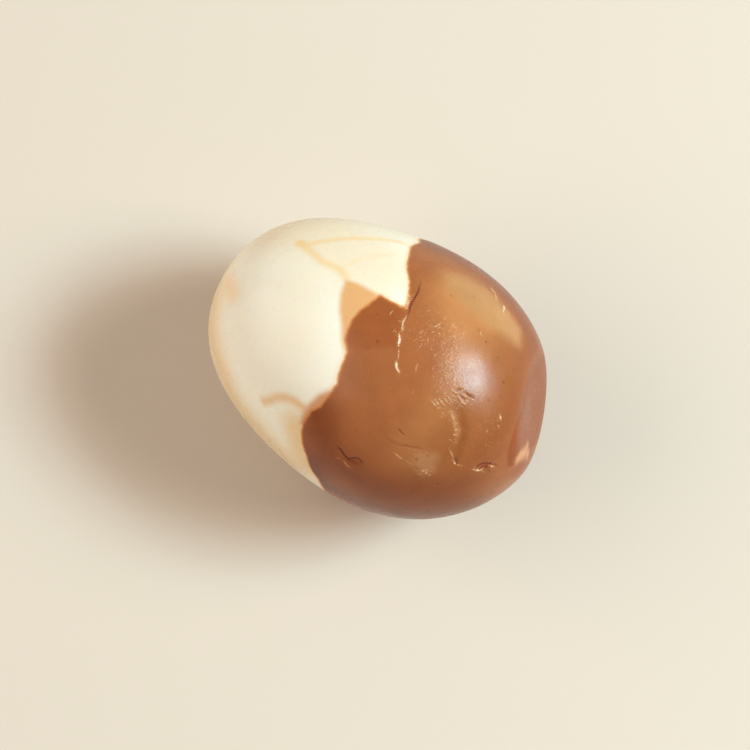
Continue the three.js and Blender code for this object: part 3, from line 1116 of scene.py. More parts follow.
@dataclass
class Stain:
    """The tea's stain: cream, brown and the line between them, with shade and a highlight painted into them.

    Attributes:
        edge: Station and turn of the line, once round.
        browns: Patches on the brown side, in the order in which they lie; some are painted shade on the
            flanks and in the crease, one a painted highlight on its crest.
        creams: Patches on the cream side; the warm and shaded ones are painted shade.
        scuffs: Where the skin is scuffed.
    """

    edge: tuple[Spot, ...] = STAIN_EDGE
    browns: tuple[Blotch | Field, ...] = (
        Blotch(Hue.LIGHT_BROWN, ((10, 36), (17, 26), (19, 0), (18, -38)), 5.5, 7.0, 0.9),
        # painted shade: the brown grows darker down both flanks, where the egg turns away from the light
        Blotch(Hue.SHADY_BROWN, ((0, -44), (3, -57), (12, -66), (22, -62)), 3.4, 7.0, 0.95),
        Blotch(Hue.DARK_BROWN_AND_SHADE, ((1, -72), (4, -82), (14, -88), (24, -90)), 3.0, 7.0, 0.95),
        Blotch(Hue.SHADY_BROWN, ((-2, 62), (8, 66), (20, 66)), 2.4, 5.0, 0.9),
        Blotch(Hue.DARK_BROWN_AND_SHADE, ((-4, 74), (6, 80), (16, 86)), 4.0, 7.0, 0.95),
        # darker brown on the underside
        Blotch(Hue.DARK_BROWN_AND_SHADE, ((4, 150), (10, 180), (4, 215)), 8.0, 12.0, 0.5),
        Blotch(Hue.SHADY_BROWN, ((20, -130), (24, 170), (18, 130)), 8.0, 12.0, 0.7),
        Field(Hue.SANDY_AND_LIT, ((4.4, 44), (7.1, 50), (11.5, 53), (18.0, 54), (19.4, 44), (14.6, 34), (9.6, 34),
                          (6.0, 36)), 3.4, 0.95),
        Field(Hue.RUST, ((26.9, -38), (26.2, -20), (25.3, 4), (24.5, 24), (23.0, 38), (22.2, 56), (21.6, 74),
                         (21.0, 96), (22.0, 120), (24.4, 145), (30, 145), (30, -38)), 0.9, 0.9),
        Blotch(Hue.RUST, ((28.2, 0), (27.4, -40)), 3.0, 4.0, 0.85),
        Field(Hue.REDDISH, ((-1.2, -9), (-2.1, -5), (-2.3, 0), (-2.1, 5), (-1.2, 14), (1.1, 15), (3.4, 14),
                            (4.9, 8), (5.4, 0), (3.7, -4.2), (2.1, -8), (0.2, -10.4)), 1.2, 0.85),
        Field(Hue.PINKISH, ((0.2, -12), (3.0, -9), (5.4, -12), (6.8, -23), (4.0, -26), (0.9, -22)), 2.4, 0.7),
        Field(Hue.ROSY, ((15.4, -37), (18.6, -34), (19.0, -44), (17.6, -49), (15.8, -44)), 2.0, 0.6),
        # painted shade along the crease's valley, and a painted highlight along its crest
        Blotch(Hue.SHADY_BROWN, ((17.7, -8), (19.6, -14.7), (20.3, -20), (20.6, -27), (21.2, -33)),
               0.5, 1.2, 0.4),
        Blotch(Hue.SANDY_AND_LIT, ((17.5, -12.6), (18.6, -17), (19.7, -21.4)), 0.4, 1.0, 0.35),
        Blotch(Hue.RUST, ((24.1, -37.4), (24.9, -35.2)), 0.5, 0.8, 0.9),
        Blotch(Hue.CRACK, ((15.7, 11.0),), 0.12, 0.2, 0.9),
        Blotch(Hue.CRACK, ((15.7, 8.2),), 0.08, 0.2, 0.8),
        Blotch(Hue.CRACK, ((16.4, 7.0),), 0.1, 0.2, 0.8),
        Blotch(Hue.CRACK, ((17.0, 5.9),), 0.08, 0.2, 0.7),
        Blotch(Hue.CRACK, ((15.4, 19.4),), 0.1, 0.25, 0.7),
        Blotch(Hue.CRACK, ((16.9, 10.3),), 0.1, 0.2, 0.8),
        Blotch(Hue.CRACK, ((16.5, 8.6),), 0.1, 0.2, 0.9),
        Blotch(Hue.CRACK, ((6.9, -54.3), (7.9, -54.3)), 0.25, 0.9, 0.6),
        Blotch(Hue.OCHRE, ((27.4, -28), (27.3, -16), (27.0, 25)), 0.9, 1.4, 0.85),
    )
    creams: tuple[Blotch | Field, ...] = (
        # painted shade: the cream darkens and warms towards its rims and where the lamps light it most
        Blotch(Hue.SHADED_CREAM, ((-26, 70), (-16, 76), (-4, 74)), 6.0, 10.0, 0.4),
        Blotch(Hue.WARM_SHADE_CREAM, ((-28.4, -10), (-24, -58), (-16, -78), (-4, -84)), 3.4, 7.0, 0.8),
        Blotch(Hue.WARM_SHADE_CREAM, ((-28.4, 40), (-25, 66), (-18, 74)), 1.5, 5.0, 0.6),
        Blotch(Hue.WARM_SHADE_CREAM, ((-22, 42), (-11, 36), (-4, 26)), 6.0, 8.0, 0.42),
        Blotch(Hue.WARM_SHADE_CREAM, ((-13, 2), (-8, -18)), 4.0, 7.0, 0.2),
        Blotch(Hue.WARM_SHADE_CREAM, ((-2, -56), (1, -74)), 3.0, 5.0, 0.9),
        Blotch(Hue.PEACH, ((-24.7, -16), (-22.0, -20)), 1.4, 3.4, 0.6),
        Blotch(Hue.PEACH, ((-24.6, 52), (-23.4, 60)), 0.5, 1.4, 0.6),
        Blotch(Hue.VEIN, ((-17.4, 26.3),), 0.8, 1.3, 0.8),
        Blotch(Hue.VEIN, ((-17.0, 25.4), (-15.2, 22.9), (-12.0, 18.5), (-9.2, 18.7), (-7.1, 15.7)),
               0.55, 1.7, 0.8),
        Blotch(Hue.VEIN, ((-15.9, 27.2), (-13.1, 35), (-10.6, 40.4), (-8.1, 45.2), (-5.5, 50), (-3.9, 50.7)),
               0.42, 1.3, 0.75),
        Blotch(Hue.VEIN, ((-8.6, 19.7), (-8.1, 24.7), (-6.1, 32), (-3.6, 39.5)), 0.3, 1.2, 0.35),
        Blotch(Hue.STRONG_VEIN, ((-9.3, -55.7), (-7.2, -47.4), (-4.9, -43.5), (-2.6, -43.8)),
               0.65, 1.7, 0.72),
        Blotch(Hue.VEIN, ((-6.0, 100), (-12.0, 112), (-17.0, 108), (-22.0, 122)), 0.4, 0.9, 0.7),
        Blotch(Hue.VEIN, ((-12.0, 112), (-14.0, 130), (-11.0, 148), (-13.0, 165)), 0.35, 0.8, 0.7),
        Blotch(Hue.STRONG_VEIN, ((-6.5, 172), (-10.0, 178), (-15.0, 190), (-18.0, 186)), 0.4, 0.9, 0.6),
        Blotch(Hue.VEIN, ((-1.5, 226), (-6.0, 232), (-12.0, 224), (-19.0, 236)), 0.4, 0.9, 0.7),
        Field(Hue.TAN, ((-7.0, 14.5), (-5.7, 15.5), (-3.5, 15.4), (-0.4, 15.2), (0.4, 8), (-0.6, 0),
                        (0.4, -10), (0, -14.5), (-0.9, -12.5), (-2.1, -9.5), (-3.4, -4.1), (-5.0, 1),
                        (-6.2, 7)), 1.3, 0.9),
        Field(Hue.FRINGE, ((-2.2, -52), (-2.4, -45.5), (-2.0, -40.7), (-1.2, -34.1), (0.3, -29.3),
                           (0.8, -26.6), (1.6, -30), (0.8, -40), (-0.4, -50)), 1.4, 0.85),
    )
    scuffs: tuple[Patch, ...] = (
        Patch(((11.4, 20), (13.0, 8), (14.6, -4), (17.6, -4)), 2.0, 2.6, 1.0),
        Patch(((15.4, 14), (16.4, 6), (18.5, 0)), 2.6, 3.0, 0.45),
        Patch(((17.2, -12), (19.0, -18), (19.7, -24)), 0.5, 1.2, 0.7),
        Patch(((13.6, -12), (16.4, -12), (18, -14)), 0.9, 1.6, 0.45),
        Patch(((7.4, 20), (8.8, 8)), 2.6, 3.6, 0.45),
        Patch(((17.6, -47), (18.4, -46)), 0.9, 1.2, 0.9),
        Patch(((23.6, -40), (25.4, -36)), 1.0, 1.6, 0.9),
        Patch(((22.5, -6), (23.0, -20)), 2.0, 3.0, 0.4),
        Patch(((8, 150), (14, 195)), 5.0, 6.0, 0.6),
    )

    def paint(self, skin: Skin) -> None:
        """Keeps the stain's colours, with the shade and highlight painted into them, and its edge on the
        skin.

        Args:
            skin: The egg's skin.
        """
        # the brown and the cream, each with painted shade, and the brown with a painted highlight on the
        # crease's crest
        skin.keep("stain", self.layered(skin, Hue.BROWN, self.browns))
        skin.keep("ground", self.layered(skin, Hue.CREAM, self.creams))
        line = Path(skin, self.edge, ease=0.15, closed=True)
        away = np.full(len(skin.points), 8.0)
        near = nearest(line.points[::10], skin.points)[1] < 7 * MM
        away[near] = nearest(line.points, skin.points[near])[1] / MM
        skin.keep("edge", np.where(inside(line.flat, skin.station, skin.turn), -away, away))

    def scuffed(self, skin: Skin) -> np.ndarray:
        """How scuffed each vertex is, from 0 to 1."""
        return np.max([patch.cover(skin) for patch in self.scuffs], axis=0)

    @staticmethod
    def layered(skin: Skin, ground: Hue, patches: tuple[Blotch | Field, ...]) -> np.ndarray:
        """Lays patches over a ground colour.

        Args:
            skin: The egg's skin.
            ground: The colour below them all.
            patches: The patches in order.

        Returns:
            A colour for each vertex.
        """
        colour = np.tile(np.array(linear(ground)), (len(skin.points), 1))
        for patch in patches:
            cover = patch.cover(skin)[:, None]
            colour = colour * (1 - cover) + np.array(linear(patch.hue)) * cover
        return colour


@dataclass(frozen=True)
class Pits:
    """Tiny pits strewn over the skin, most of them where it is stained.

    Attributes:
        density: How many there are on stained skin, per square metre.
        radius: Reach of the largest, in metres.
        depth: Depth of the deepest, in metres.
        cream_share: How many there are on cream skin, as a share of those on stained skin.
        seed: Chooses where they are.
    """

    density: float = 30000.0
    radius: float = 0.19 * MM
    depth: float = 0.04 * MM
    cream_share: float = 0.02
    seed: int = 5

    def tree(self, values: dict[str, object]) -> bpy.types.NodeTree:
        """Builds the Geometry Nodes tree that strews the pits and presses them in.

        Args:
            values: The tree's inputs by name, which give its sockets their kinds.

        Returns:
            The node tree.
        """
        tree = bpy.data.node_groups.new("egg_pits", "GeometryNodeTree")
        tree.interface.new_socket("Skin", in_out="INPUT", socket_type="NodeSocketGeometry")
        for name, value in values.items():
            tree.interface.new_socket(name, in_out="INPUT", socket_type=socket_kind(value))
        tree.interface.new_socket("Geometry", in_out="OUTPUT", socket_type="NodeSocketGeometry")
        sizes = add(tree, "NodeGroupInput").outputs
        calc = "ShaderNodeMath"
        edge = add(tree, "GeometryNodeInputNamedAttribute", "edge", data_type="FLOAT").outputs[0]
        few = sizes["Cream Share"]
        share = add(tree, "ShaderNodeMapRange", edge, -0.5, 0.5, few, 1.0).outputs[0]
        density = add(tree, calc, share, sizes["Density"], operation="MULTIPLY").outputs[0]
        strewn = add(
            tree,
            "GeometryNodeDistributePointsOnFaces",
            {"Mesh": sizes["Skin"], "Density": density, "Seed": sizes["Seed"]},
        ).outputs["Points"]
        close = add(tree, "GeometryNodeProximity", strewn, target_element="POINTS").outputs["Distance"]
        which = add(tree, "GeometryNodeSampleNearest", strewn).outputs["Index"]
        chance = add(tree, "FunctionNodeRandomValue", {2: 0.15, 3: 1.0, "ID": which}).outputs[1]
        reach = add(tree, calc, chance, sizes["Radius"], operation="MULTIPLY").outputs[0]
        ratio = add(tree, calc, close, reach, operation="DIVIDE").outputs[0]
        squared = add(tree, calc, ratio, ratio, operation="MULTIPLY").outputs[0]
        minus = add(tree, calc, squared, -1.0, operation="MULTIPLY").outputs[0]
        bell = add(tree, calc, minus, operation="EXPONENT").outputs[0]
        pit = add(tree, calc, bell, chance, operation="MULTIPLY").outputs[0]
        deep = add(tree, calc, pit, sizes["Depth"], operation="MULTIPLY").outputs[0]
        down = add(tree, calc, deep, -1.0, operation="MULTIPLY").outputs[0]
        normal = add(tree, "GeometryNodeInputNormal").outputs[0]
        offset = add(tree, "ShaderNodeVectorMath", {0: normal, "Scale": down}, operation="SCALE").outputs[0]
        kept = add(
            tree,
            "GeometryNodeStoreNamedAttribute",
            {"Geometry": sizes["Skin"], "Name": "pit", "Value": pit},
            data_type="FLOAT",
            domain="POINT",
        ).outputs[0]
        pressed = add(tree, "GeometryNodeSetPosition", {"Geometry": kept, "Offset": offset}).outputs[0]
        real = add(tree, "GeometryNodeRealizeInstances", {"Geometry": pressed}).outputs[0]
        inputs = {"Geometry": real, "Material": sizes["Finish"]}
        add(tree, "NodeGroupOutput", add(tree, "GeometryNodeSetMaterial", inputs).outputs[0])
        return tree

    def press(self, egg: bpy.types.Object) -> None:
        """Presses the pits into the egg.

        Args:
            egg: The egg's object.
        """
        values = {
            "Density": self.density,
            "Radius": self.radius,
            "Depth": self.depth,
            "Cream Share": self.cream_share,
            "Seed": self.seed,
            "Finish": egg.data.materials[0],
        }
        old = egg.data
        egg.data = run_tree(egg, self.tree(values), values)
        bpy.data.meshes.remove(old)
        egg.data.name = "tea_egg"


# ---- Finishes --------------------------------------------------------------------------------------

SMOOTH = {"interpolation_type": "SMOOTHSTEP"}  # how a Map Range node rises
COVER = {"data_type": "RGBA", "blend_type": "MIX"}  # how one colour lies over another
DARKEN = {"data_type": "RGBA", "blend_type": "DARKEN"}

@dataclass(frozen=True)
class BoiledEggWhite:
    """Boiled egg white, set smooth against its shell: satin, a little see-through, stained by tea.

    Attributes:
        ior: Egg white with a thin film of oil and soy on it.
        roughness: A satin skin that still shows a soft lamp.
        scuffed_roughness: What scuffs add to it.
        translucence: Share of the light that goes in and comes out elsewhere, which warms the rims.
        grain: Height of the skin's fine unevenness, in millimetres.
        scuff_height: Height of the scuffs, in millimetres.
        scrape_height: Height of a pale line's crest, in millimetres.
        cracked_roughness: What the floor of a crack adds to the roughness.
        streaks: Streaks per millimetre of a scuff along X, Y and Z, for each way they run.
        ragged_per_mm: Bends per millimetre in a thin line's sides, each a third of a millimetre.
        crumbs_per_mm: Crumbs per millimetre of a pale line, each about 0.4 mm.
        bends_per_mm: Bends per millimetre in the stain's edge, each about 0.8 mm.
        clouds_per_mm: Lighter and darker clouds per millimetre of the brown, each about 3 mm.
        sheens_per_mm: Glossier and duller patches per millimetre, each 2.5 mm.
        grains_per_mm: Grains per millimetre of the fine unevenness, each about 0.7 mm.
    """

    ior: float = 1.4
    roughness: float = 0.28
    scuffed_roughness: float = 0.08
    translucence: float = 0.25
    grain: float = 0.006
    scuff_height: float = 0.075
    scrape_height: float = 0.04
    cracked_roughness: float = 0.4
    streaks: tuple[tuple[float, float, float], ...] = ((4.0, 1.3, 2.0), (1.5, 4.2, 2.0))
    ragged_per_mm: float = 3.0
    crumbs_per_mm: float = 2.6
    bends_per_mm: float = 1.3
    clouds_per_mm: float = 0.35
    sheens_per_mm: float = 0.4
    grains_per_mm: float = 1.4

    def make(self) -> bpy.types.Material:
        """Builds the material.

        Returns:
            The finish for the whole egg.
        """
        # a satin, faintly see-through skin: cream where the shell held, tea brown where it was cracked
        material = bpy.data.materials.new("boiled_egg_white_stained_with_tea")
        material.use_nodes = True
        tree = material.node_tree
        tree.nodes.clear()
        place = add(tree, "ShaderNodeTexCoord").outputs["Object"]
        at = add(tree, "ShaderNodeVectorMath", {0: place, "Scale": 1 / MM}, operation="SCALE").outputs[0]
        wear = add(tree, "ShaderNodeAttribute", attribute_name="wear").outputs["Vector"]
        scuffed = add(tree, "ShaderNodeSeparateXYZ", wear).outputs["Z"]
        lines = self.lines(tree, at, wear)
        streaks = self.woven(tree, at)
        shader = add(
            tree,
            "ShaderNodeBsdfPrincipled",
            {
                "Base Color": self.worn(tree, self.stained(tree, at), lines, streaks, scuffed),
                "Roughness": self.gloss(tree, at, lines, scuffed),
                "Normal": self.relief(tree, at, lines, streaks, scuffed),
                "IOR": self.ior,
                "Subsurface Weight": self.translucence,
                "Subsurface Radius": (1.0, 0.5, 0.25),
                "Subsurface Scale": 2.5 * MM,
            },
        )
        add(tree, "ShaderNodeOutputMaterial", shader.outputs[0])
        return material

    def lines(
        self, tree: bpy.types.NodeTree, at: bpy.types.NodeSocket, wear: bpy.types.NodeSocket
    ) -> tuple[bpy.types.NodeSocket, bpy.types.NodeSocket]:
        """Draws the thin lines of cracks and scratches.

        Args:
            tree: The material's nodes.
            at: The place on the egg, in millimetres.
            wear: The skin's dark and pale lines and its scuffs.

        Returns:
            How dark and how pale the skin is, from 0 to 1.
        """
        calc, noise = "ShaderNodeMath", "ShaderNodeTexNoise"
        line = add(tree, "ShaderNodeAttribute", attribute_name="line").outputs["Vector"]
        parts = add(tree, "ShaderNodeSeparateXYZ", line).outputs
        jitter = add(tree, noise, {"Vector": at, "Scale": self.ragged_per_mm, "Detail": 2.0}).outputs["Fac"]
        shift = add(tree, calc, jitter, -0.5).outputs[0]
        side = add(tree, calc, shift, 0.16, parts["X"], operation="MULTIPLY_ADD").outputs[0]
        ratio = add(tree, calc, side, parts["Y"], operation="DIVIDE").outputs[0]
        squared = add(tree, calc, ratio, ratio, operation="MULTIPLY").outputs[0]
        minus = add(tree, calc, squared, -1.0, operation="MULTIPLY").outputs[0]
        bell = add(tree, calc, minus, operation="EXPONENT").outputs[0]
        amounts = add(tree, "ShaderNodeSeparateXYZ", wear).outputs
        dark = add(tree, calc, amounts["X"], bell, operation="MULTIPLY").outputs[0]
        # a pale line breaks up where it is faint
        crumbs = add(tree, noise, {"Vector": at, "Scale": self.crumbs_per_mm, "Detail": 3.0}).outputs["Fac"]
        fuller = add(tree, calc, amounts["Y"], 0.4, crumbs, operation="MULTIPLY_ADD").outputs[0]
        whole = add(tree, "ShaderNodeMapRange", fuller, 0.5, 0.72, 0.0, 1.0, **SMOOTH).outputs[0]
        solid = add(tree, calc, amounts["Y"], bell, operation="MULTIPLY").outputs[0]
        pale = add(tree, calc, solid, whole, operation="MULTIPLY").outputs[0]
        return dark, pale

    def woven(self, tree: bpy.types.NodeTree, at: bpy.types.NodeSocket) -> bpy.types.NodeSocket:
        """Makes the scuffs' woven pattern of short streaks that cross.

        Args:
            tree: The material's nodes.
            at: The place on the egg, in millimetres.

        Returns:
            The pattern, from 0 to 1.
        """
        noise = "ShaderNodeTexNoise"
        ways = []
        for stretch in self.streaks:
            drawn = add(tree, "ShaderNodeVectorMath", at, stretch, operation="MULTIPLY").outputs[0]
            ways.append(add(tree, noise, {"Vector": drawn, "Scale": 1.0, "Detail": 2.0}).outputs["Fac"])
        return add(tree, "ShaderNodeMath", *ways, operation="MAXIMUM").outputs[0]

    def stained(self, tree: bpy.types.NodeTree, at: bpy.types.NodeSocket) -> bpy.types.NodeSocket:
        """Colours the cream and the brown, and the edge between them.

        Args:
            tree: The material's nodes.
            at: The place on the egg, in millimetres.

        Returns:
            The stained colour.
        """
        noise, rise, mix = "ShaderNodeTexNoise", "ShaderNodeMapRange", "ShaderNodeMix"
        # brown and cream as kept on the skin, painted shade and a painted highlight included
        brown = add(tree, "ShaderNodeAttribute", attribute_name="stain").outputs["Color"]
        cream = add(tree, "ShaderNodeAttribute", attribute_name="ground").outputs["Color"]
        edge = add(tree, "ShaderNodeAttribute", attribute_name="edge").outputs["Fac"]
        # the stain's edge wavers by a tenth of a millimetre
        bends = add(tree, noise, {"Vector": at, "Scale": self.bends_per_mm, "Detail": 3.0}).outputs["Fac"]
        centred = add(tree, "ShaderNodeMath", bends, -0.5).outputs[0]
        wavy = add(tree, "ShaderNodeMath", centred, 0.4, edge, operation="MULTIPLY_ADD").outputs[0]
        glow = add(tree, rise, wavy, -1.5, 0.0, 0.0, 0.8, **SMOOTH).outputs[0]
        glow = add(tree, "ShaderNodeMath", glow, 1.8, operation="POWER").outputs[0]
        glowing = add(tree, mix, {0: glow, 6: cream, 7: linear(Hue.PEACH)}, **DARKEN).outputs[2]
        close = add(tree, rise, wavy, -0.45, 0.05, 0.0, 1.0, **SMOOTH).outputs[0]
        rimmed = add(tree, mix, {0: close, 6: glowing, 7: linear(Hue.FRINGE)}, **DARKEN).outputs[2]
        past = add(tree, rise, wavy, -0.15, 0.35, 0.0, 1.0, **SMOOTH).outputs[0]
        return add(tree, mix, {0: past, 6: rimmed, 7: self.mottled(tree, at, brown)}, **COVER).outputs[2]

    def mottled(
        self, tree: bpy.types.NodeTree, at: bpy.types.NodeSocket, brown: bpy.types.NodeSocket
    ) -> bpy.types.NodeSocket:
        """Makes the brown a little lighter and darker from place to place.

        Args:
            tree: The material's nodes.
            at: The place on the egg, in millimetres.
            brown: The stain's colour.

        Returns:
            The mottled colour.
        """
        noise = "ShaderNodeTexNoise"
        clouds = add(tree, noise, {"Vector": at, "Scale": self.clouds_per_mm, "Detail": 5.0}).outputs["Fac"]
        value = add(tree, "ShaderNodeMapRange", clouds, 0.25, 0.75, 0.93, 1.07).outputs[0]
        return add(tree, "ShaderNodeHueSaturation", {"Color": brown, "Value": value}).outputs[0]

    def worn(
        self,
        tree: bpy.types.NodeTree,
        stained: bpy.types.NodeSocket,
        lines: tuple[bpy.types.NodeSocket, bpy.types.NodeSocket],
        streaks: bpy.types.NodeSocket,
        scuffed: bpy.types.NodeSocket,
    ) -> bpy.types.NodeSocket:
        """Darkens the cracks, and pales what is scraped.

        Args:
            tree: The material's nodes.
            stained: The colour below.
            lines: How dark and how pale the thin lines are.
            streaks: The scuffs' pattern.
            scuffed: How scuffed the skin is.

        Returns:
            The base colour.
        """
        pit = add(tree, "ShaderNodeAttribute", attribute_name="pit").outputs["Fac"]
        calc, rise, mix = "ShaderNodeMath", "ShaderNodeMapRange", "ShaderNodeMix"
        # the scuffs' raised streaks are paled: partly scraped skin, partly a painted glint
        raised = add(tree, rise, streaks, 0.6, 0.7, 0.0, 0.5, **SMOOTH).outputs[0]
        crests = add(tree, calc, raised, scuffed, operation="MULTIPLY").outputs[0]
        colour = add(tree, mix, {0: crests, 6: stained, 7: linear(Hue.TORN)}, **COVER).outputs[2]
        fresh = add(tree, rise, lines[1], 0.5, 0.85, 0.0, 1.0, **SMOOTH).outputs[0]
        torn = add(tree, mix, {0: fresh, 6: linear(Hue.TORN), 7: linear(Hue.SCRAPED)}, **COVER).outputs[2]
        colour = add(tree, mix, {0: lines[1], 6: colour, 7: torn}, **COVER).outputs[2]
        deep = add(tree, calc, lines[0], pit, operation="MAXIMUM").outputs[0]
        return add(tree, mix, {0: deep, 6: colour, 7: linear(Hue.CRACK)}, **COVER).outputs[2]

    def gloss(
        self,
        tree: bpy.types.NodeTree,
        at: bpy.types.NodeSocket,
        lines: tuple[bpy.types.NodeSocket, bpy.types.NodeSocket],
        scuffed: bpy.types.NodeSocket,
    ) -> bpy.types.NodeSocket:
        """Varies the roughness a little, and raises it where the skin is scuffed or cracked.

        Args:
            tree: The material's nodes.
            at: The place on the egg, in millimetres.
            lines: How dark and how pale the thin lines are.
            scuffed: How scuffed the skin is.

        Returns:
            The roughness.
        """
        noise = "ShaderNodeTexNoise"
        patches = add(tree, noise, {"Vector": at, "Scale": self.sheens_per_mm, "Detail": 2.0}).outputs["Fac"]
        low, high = self.roughness - 0.03, self.roughness + 0.05
        even = add(tree, "ShaderNodeMapRange", patches, 0.3, 0.7, low, high).outputs[0]
        more = self.scuffed_roughness
        worn = add(tree, "ShaderNodeMath", scuffed, more, even, operation="MULTIPLY_ADD").outputs[0]
        rough = self.cracked_roughness
        return add(tree, "ShaderNodeMath", lines[0], rough, worn, operation="MULTIPLY_ADD").outputs[0]

    def relief(
        self,
        tree: bpy.types.NodeTree,
        at: bpy.types.NodeSocket,
        lines: tuple[bpy.types.NodeSocket, bpy.types.NodeSocket],
        streaks: bpy.types.NodeSocket,
        scuffed: bpy.types.NodeSocket,
    ) -> bpy.types.NodeSocket:
        """Gives the skin its fine unevenness, on top of what the mesh holds.

        Args:
            tree: The material's nodes.
            at: The place on the egg, in millimetres.
            lines: How dark and how pale the thin lines are.
            streaks: The scuffs' pattern.
            scuffed: How scuffed the skin is.

        Returns:
            The bumped normal.
        """
        calc, noise = "ShaderNodeMath", "ShaderNodeTexNoise"
        grains = add(tree, noise, {"Vector": at, "Scale": self.grains_per_mm, "Detail": 3.0}).outputs["Fac"]
        edge = add(tree, "ShaderNodeAttribute", attribute_name="edge").outputs["Fac"]
        coarse = add(tree, "ShaderNodeMapRange", edge, -0.5, 0.5, 0.05 * self.grain, self.grain).outputs[0]
        height = add(tree, calc, grains, coarse, operation="MULTIPLY").outputs[0]
        scuffs = add(tree, calc, streaks, scuffed, operation="MULTIPLY").outputs[0]
        height = add(tree, calc, scuffs, self.scuff_height, height, operation="MULTIPLY_ADD").outputs[0]
        crests = self.scrape_height
        height = add(tree, calc, lines[1], crests, height, operation="MULTIPLY_ADD").outputs[0]
        return add(tree, "ShaderNodeBump", {"Strength": 1.0, "Distance": MM, "Height": height}).outputs[0]


# ---- The studio ------------------------------------------------------------------------------------


@dataclass(frozen=True)
class Softbox:
    """A soft square-cornered lamp that faces the egg.

    Attributes:
        name: What it's called.
        towards: Direction from the egg to the lamp.
        size: Width and height, in metres.
        power: In watts.
        hue: The colour of its light.
        distance: From the egg's middle, in metres.
    """

    name: str
    towards: tuple[float, float, float]
    size: tuple[float, float]
    power: float
    hue: Hue
    distance: float = 1.0

    def hang(self, middle: Vector, tall: Vector) -> None:
        """Hangs the lamp.

        Args:
            middle: The egg's middle.
            tall: The direction that its height lies closest to.
        """
        lamp = bpy.data.lights.new(self.name, "AREA")
        lamp.shape = "RECTANGLE"
        lamp.size, lamp.size_y = self.size
        lamp.energy = self.power
        lamp.color = linear(self.hue)[:3]
        back = Vector(self.towards).normalized()
        up = (tall - back * tall.dot(back)).normalized()
        turn = Matrix((up.cross(back), up, back)).transposed().to_4x4()
        holder = bpy.data.objects.new(self.name, lamp)
        holder.matrix_world = Matrix.Translation(middle + back * self.distance) @ turn
        bpy.context.scene.collection.objects.link(holder)


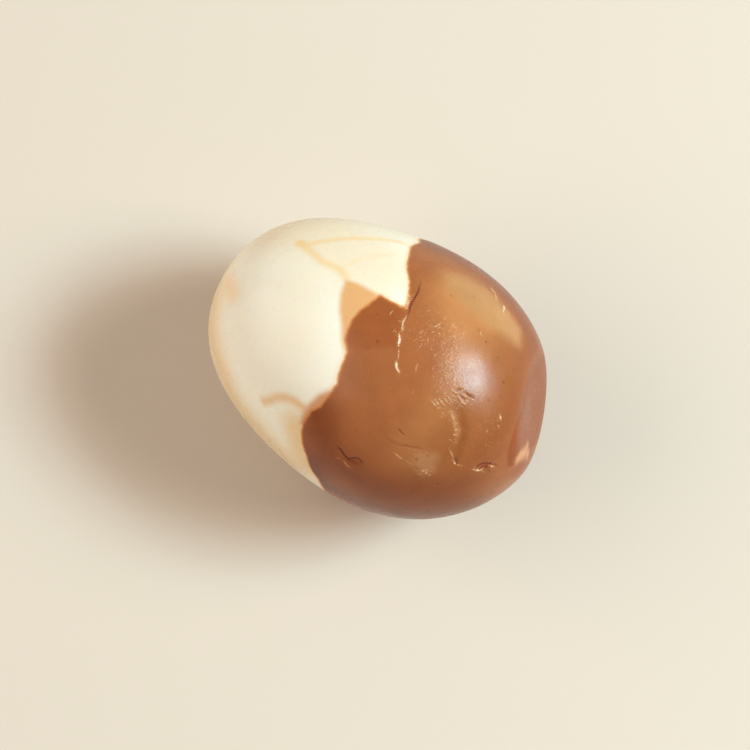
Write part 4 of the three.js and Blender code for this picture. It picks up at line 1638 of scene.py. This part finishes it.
@dataclass(frozen=True)
class Studio:
    """A plain pale floor, three soft lamps, soft light from all round, and the camera.

    Attributes:
        azimuth_deg: Where the camera stands round the egg, from -Y towards +X.
        elevation_deg: How high it looks down from.
        distance: From the camera to the egg's middle, in metres.
        lens: Focal length on a 36 mm sensor, in millimetres.
        aside: How far the camera is moved in its own plane, left and down, in metres.
        floor_side: Side of the square floor, in metres.
        middle: What the camera and the lamps are turned to, in metres.
        lamps: The lamps.
        sky: Strength of the light from all round.
    """

    azimuth_deg: float = 32.65
    elevation_deg: float = 78.0
    distance: float = 0.48
    lens: float = 147.6
    aside: tuple[float, float] = (-1.07 * MM, -1.25 * MM)
    floor_side: float = 4.0
    middle: tuple[float, float, float] = (0, 0, 20 * MM)
    lamps: tuple[Softbox, ...] = (
        Softbox("key", (0.616, 0.424, 0.664), (0.34, 0.56), 7.9, Hue.DAYLIGHT),
        Softbox("window", (0.612, 0.424, 0.664), (0.18, 0.30), 7.7, Hue.SKYLIGHT),
        Softbox("fill", (-0.75, -0.4, 0.53), (1.0, 1.0), 5.4, Hue.LAMPLIGHT),
    )
    sky: float = 0.4

    def floor(self) -> bpy.types.Object:
        """Lays the floor.

        Returns:
            The floor's object.
        """
        half = self.floor_side / 2
        mesh = bpy.data.meshes.new("floor")
        corners = [(-half, -half, 0), (half, -half, 0), (half, half, 0), (-half, half, 0)]
        mesh.from_pydata(corners, [], [(0, 1, 2, 3)])
        # matt, a little warm: it throws soft light back up under the egg and shows no gloss of its own
        material = bpy.data.materials.new("matt_warm_paper")
        material.use_nodes = True
        shader = material.node_tree.nodes["Principled BSDF"]
        shader.inputs["Base Color"].default_value = linear(Hue.FLOOR)
        shader.inputs["Roughness"].default_value = 0.9
        mesh.materials.append(material)
        floor = bpy.data.objects.new("floor", mesh)
        bpy.context.scene.collection.objects.link(floor)
        return floor

    def lights(self) -> None:
        """Sets the lamps and the light from all round."""
        for lamp in self.lamps:
            lamp.hang(Vector(self.middle), self.axes()[1])
        world = bpy.data.worlds.new("studio")
        world.use_nodes = True
        background = world.node_tree.nodes["Background"]
        background.inputs["Color"].default_value = linear(Hue.LAMPLIGHT)
        background.inputs["Strength"].default_value = self.sky
        bpy.context.scene.world = world

    def axes(self) -> tuple[Vector, Vector, Vector]:
        """Works out which way the camera is turned.

        Returns:
            Its directions to the right, up and back.
        """
        azimuth, elevation = math.radians(self.azimuth_deg), math.radians(self.elevation_deg)
        right = Vector((math.cos(azimuth), math.sin(azimuth), 0))
        level = Vector((math.sin(azimuth), -math.cos(azimuth), 0))
        back = level * math.cos(elevation) + Vector((0, 0, math.sin(elevation)))
        return right, back.cross(right), back

    def camera(self) -> None:
        """Sets the camera."""
        right, up, back = self.axes()
        lens = bpy.data.cameras.new("camera")
        lens.lens = self.lens
        lens.sensor_width = 36.0
        lens.clip_start = 0.01
        lens.clip_end = 20.0
        camera = bpy.data.objects.new("camera", lens)
        aside = right * self.aside[0] + up * self.aside[1]
        place = Vector(self.middle) + back * self.distance + aside
        turn = Matrix((right, up, back)).transposed().to_4x4()
        camera.matrix_world = Matrix.Translation(place) @ turn
        bpy.context.scene.collection.objects.link(camera)
        bpy.context.scene.camera = camera


def main() -> None:
    """Builds the egg, marks it, stains it and sets it in the studio."""
    logging.basicConfig(level=logging.INFO, format="%(name)s: %(message)s")
    body = EggBody()
    egg = body.grow(BoiledEggWhite().make())
    skin = Skin(egg, body)
    LOG.info("grew %s: %d faces, fit %.5f", egg.name, len(egg.data.polygons), body.fit)

    for crack in CRACKS:
        crack.gather(skin)
    wear = Wear(skin)
    scratches = [mark for patch in SCRATCHES for mark in patch.marks()]
    for mark in [*CRACKS, *MARKS, *scratches]:
        mark.cut(skin, wear)
    LOG.info("marked %s: %d marks and %d scratches", egg.name, len(CRACKS + MARKS), len(scratches))
    stain = Stain()
    stain.paint(skin)
    wear.apply(skin, stain.scuffed(skin))
    Pits().press(egg)
    LOG.info("stained and pitted %s", egg.name)

    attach(egg, "root")
    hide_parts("egg")

    studio = Studio()
    floor = studio.floor()
    studio.lights()
    studio.camera()
    bpy.context.scene.view_settings.view_transform = "Standard"


if __name__ == "__main__":
    main()
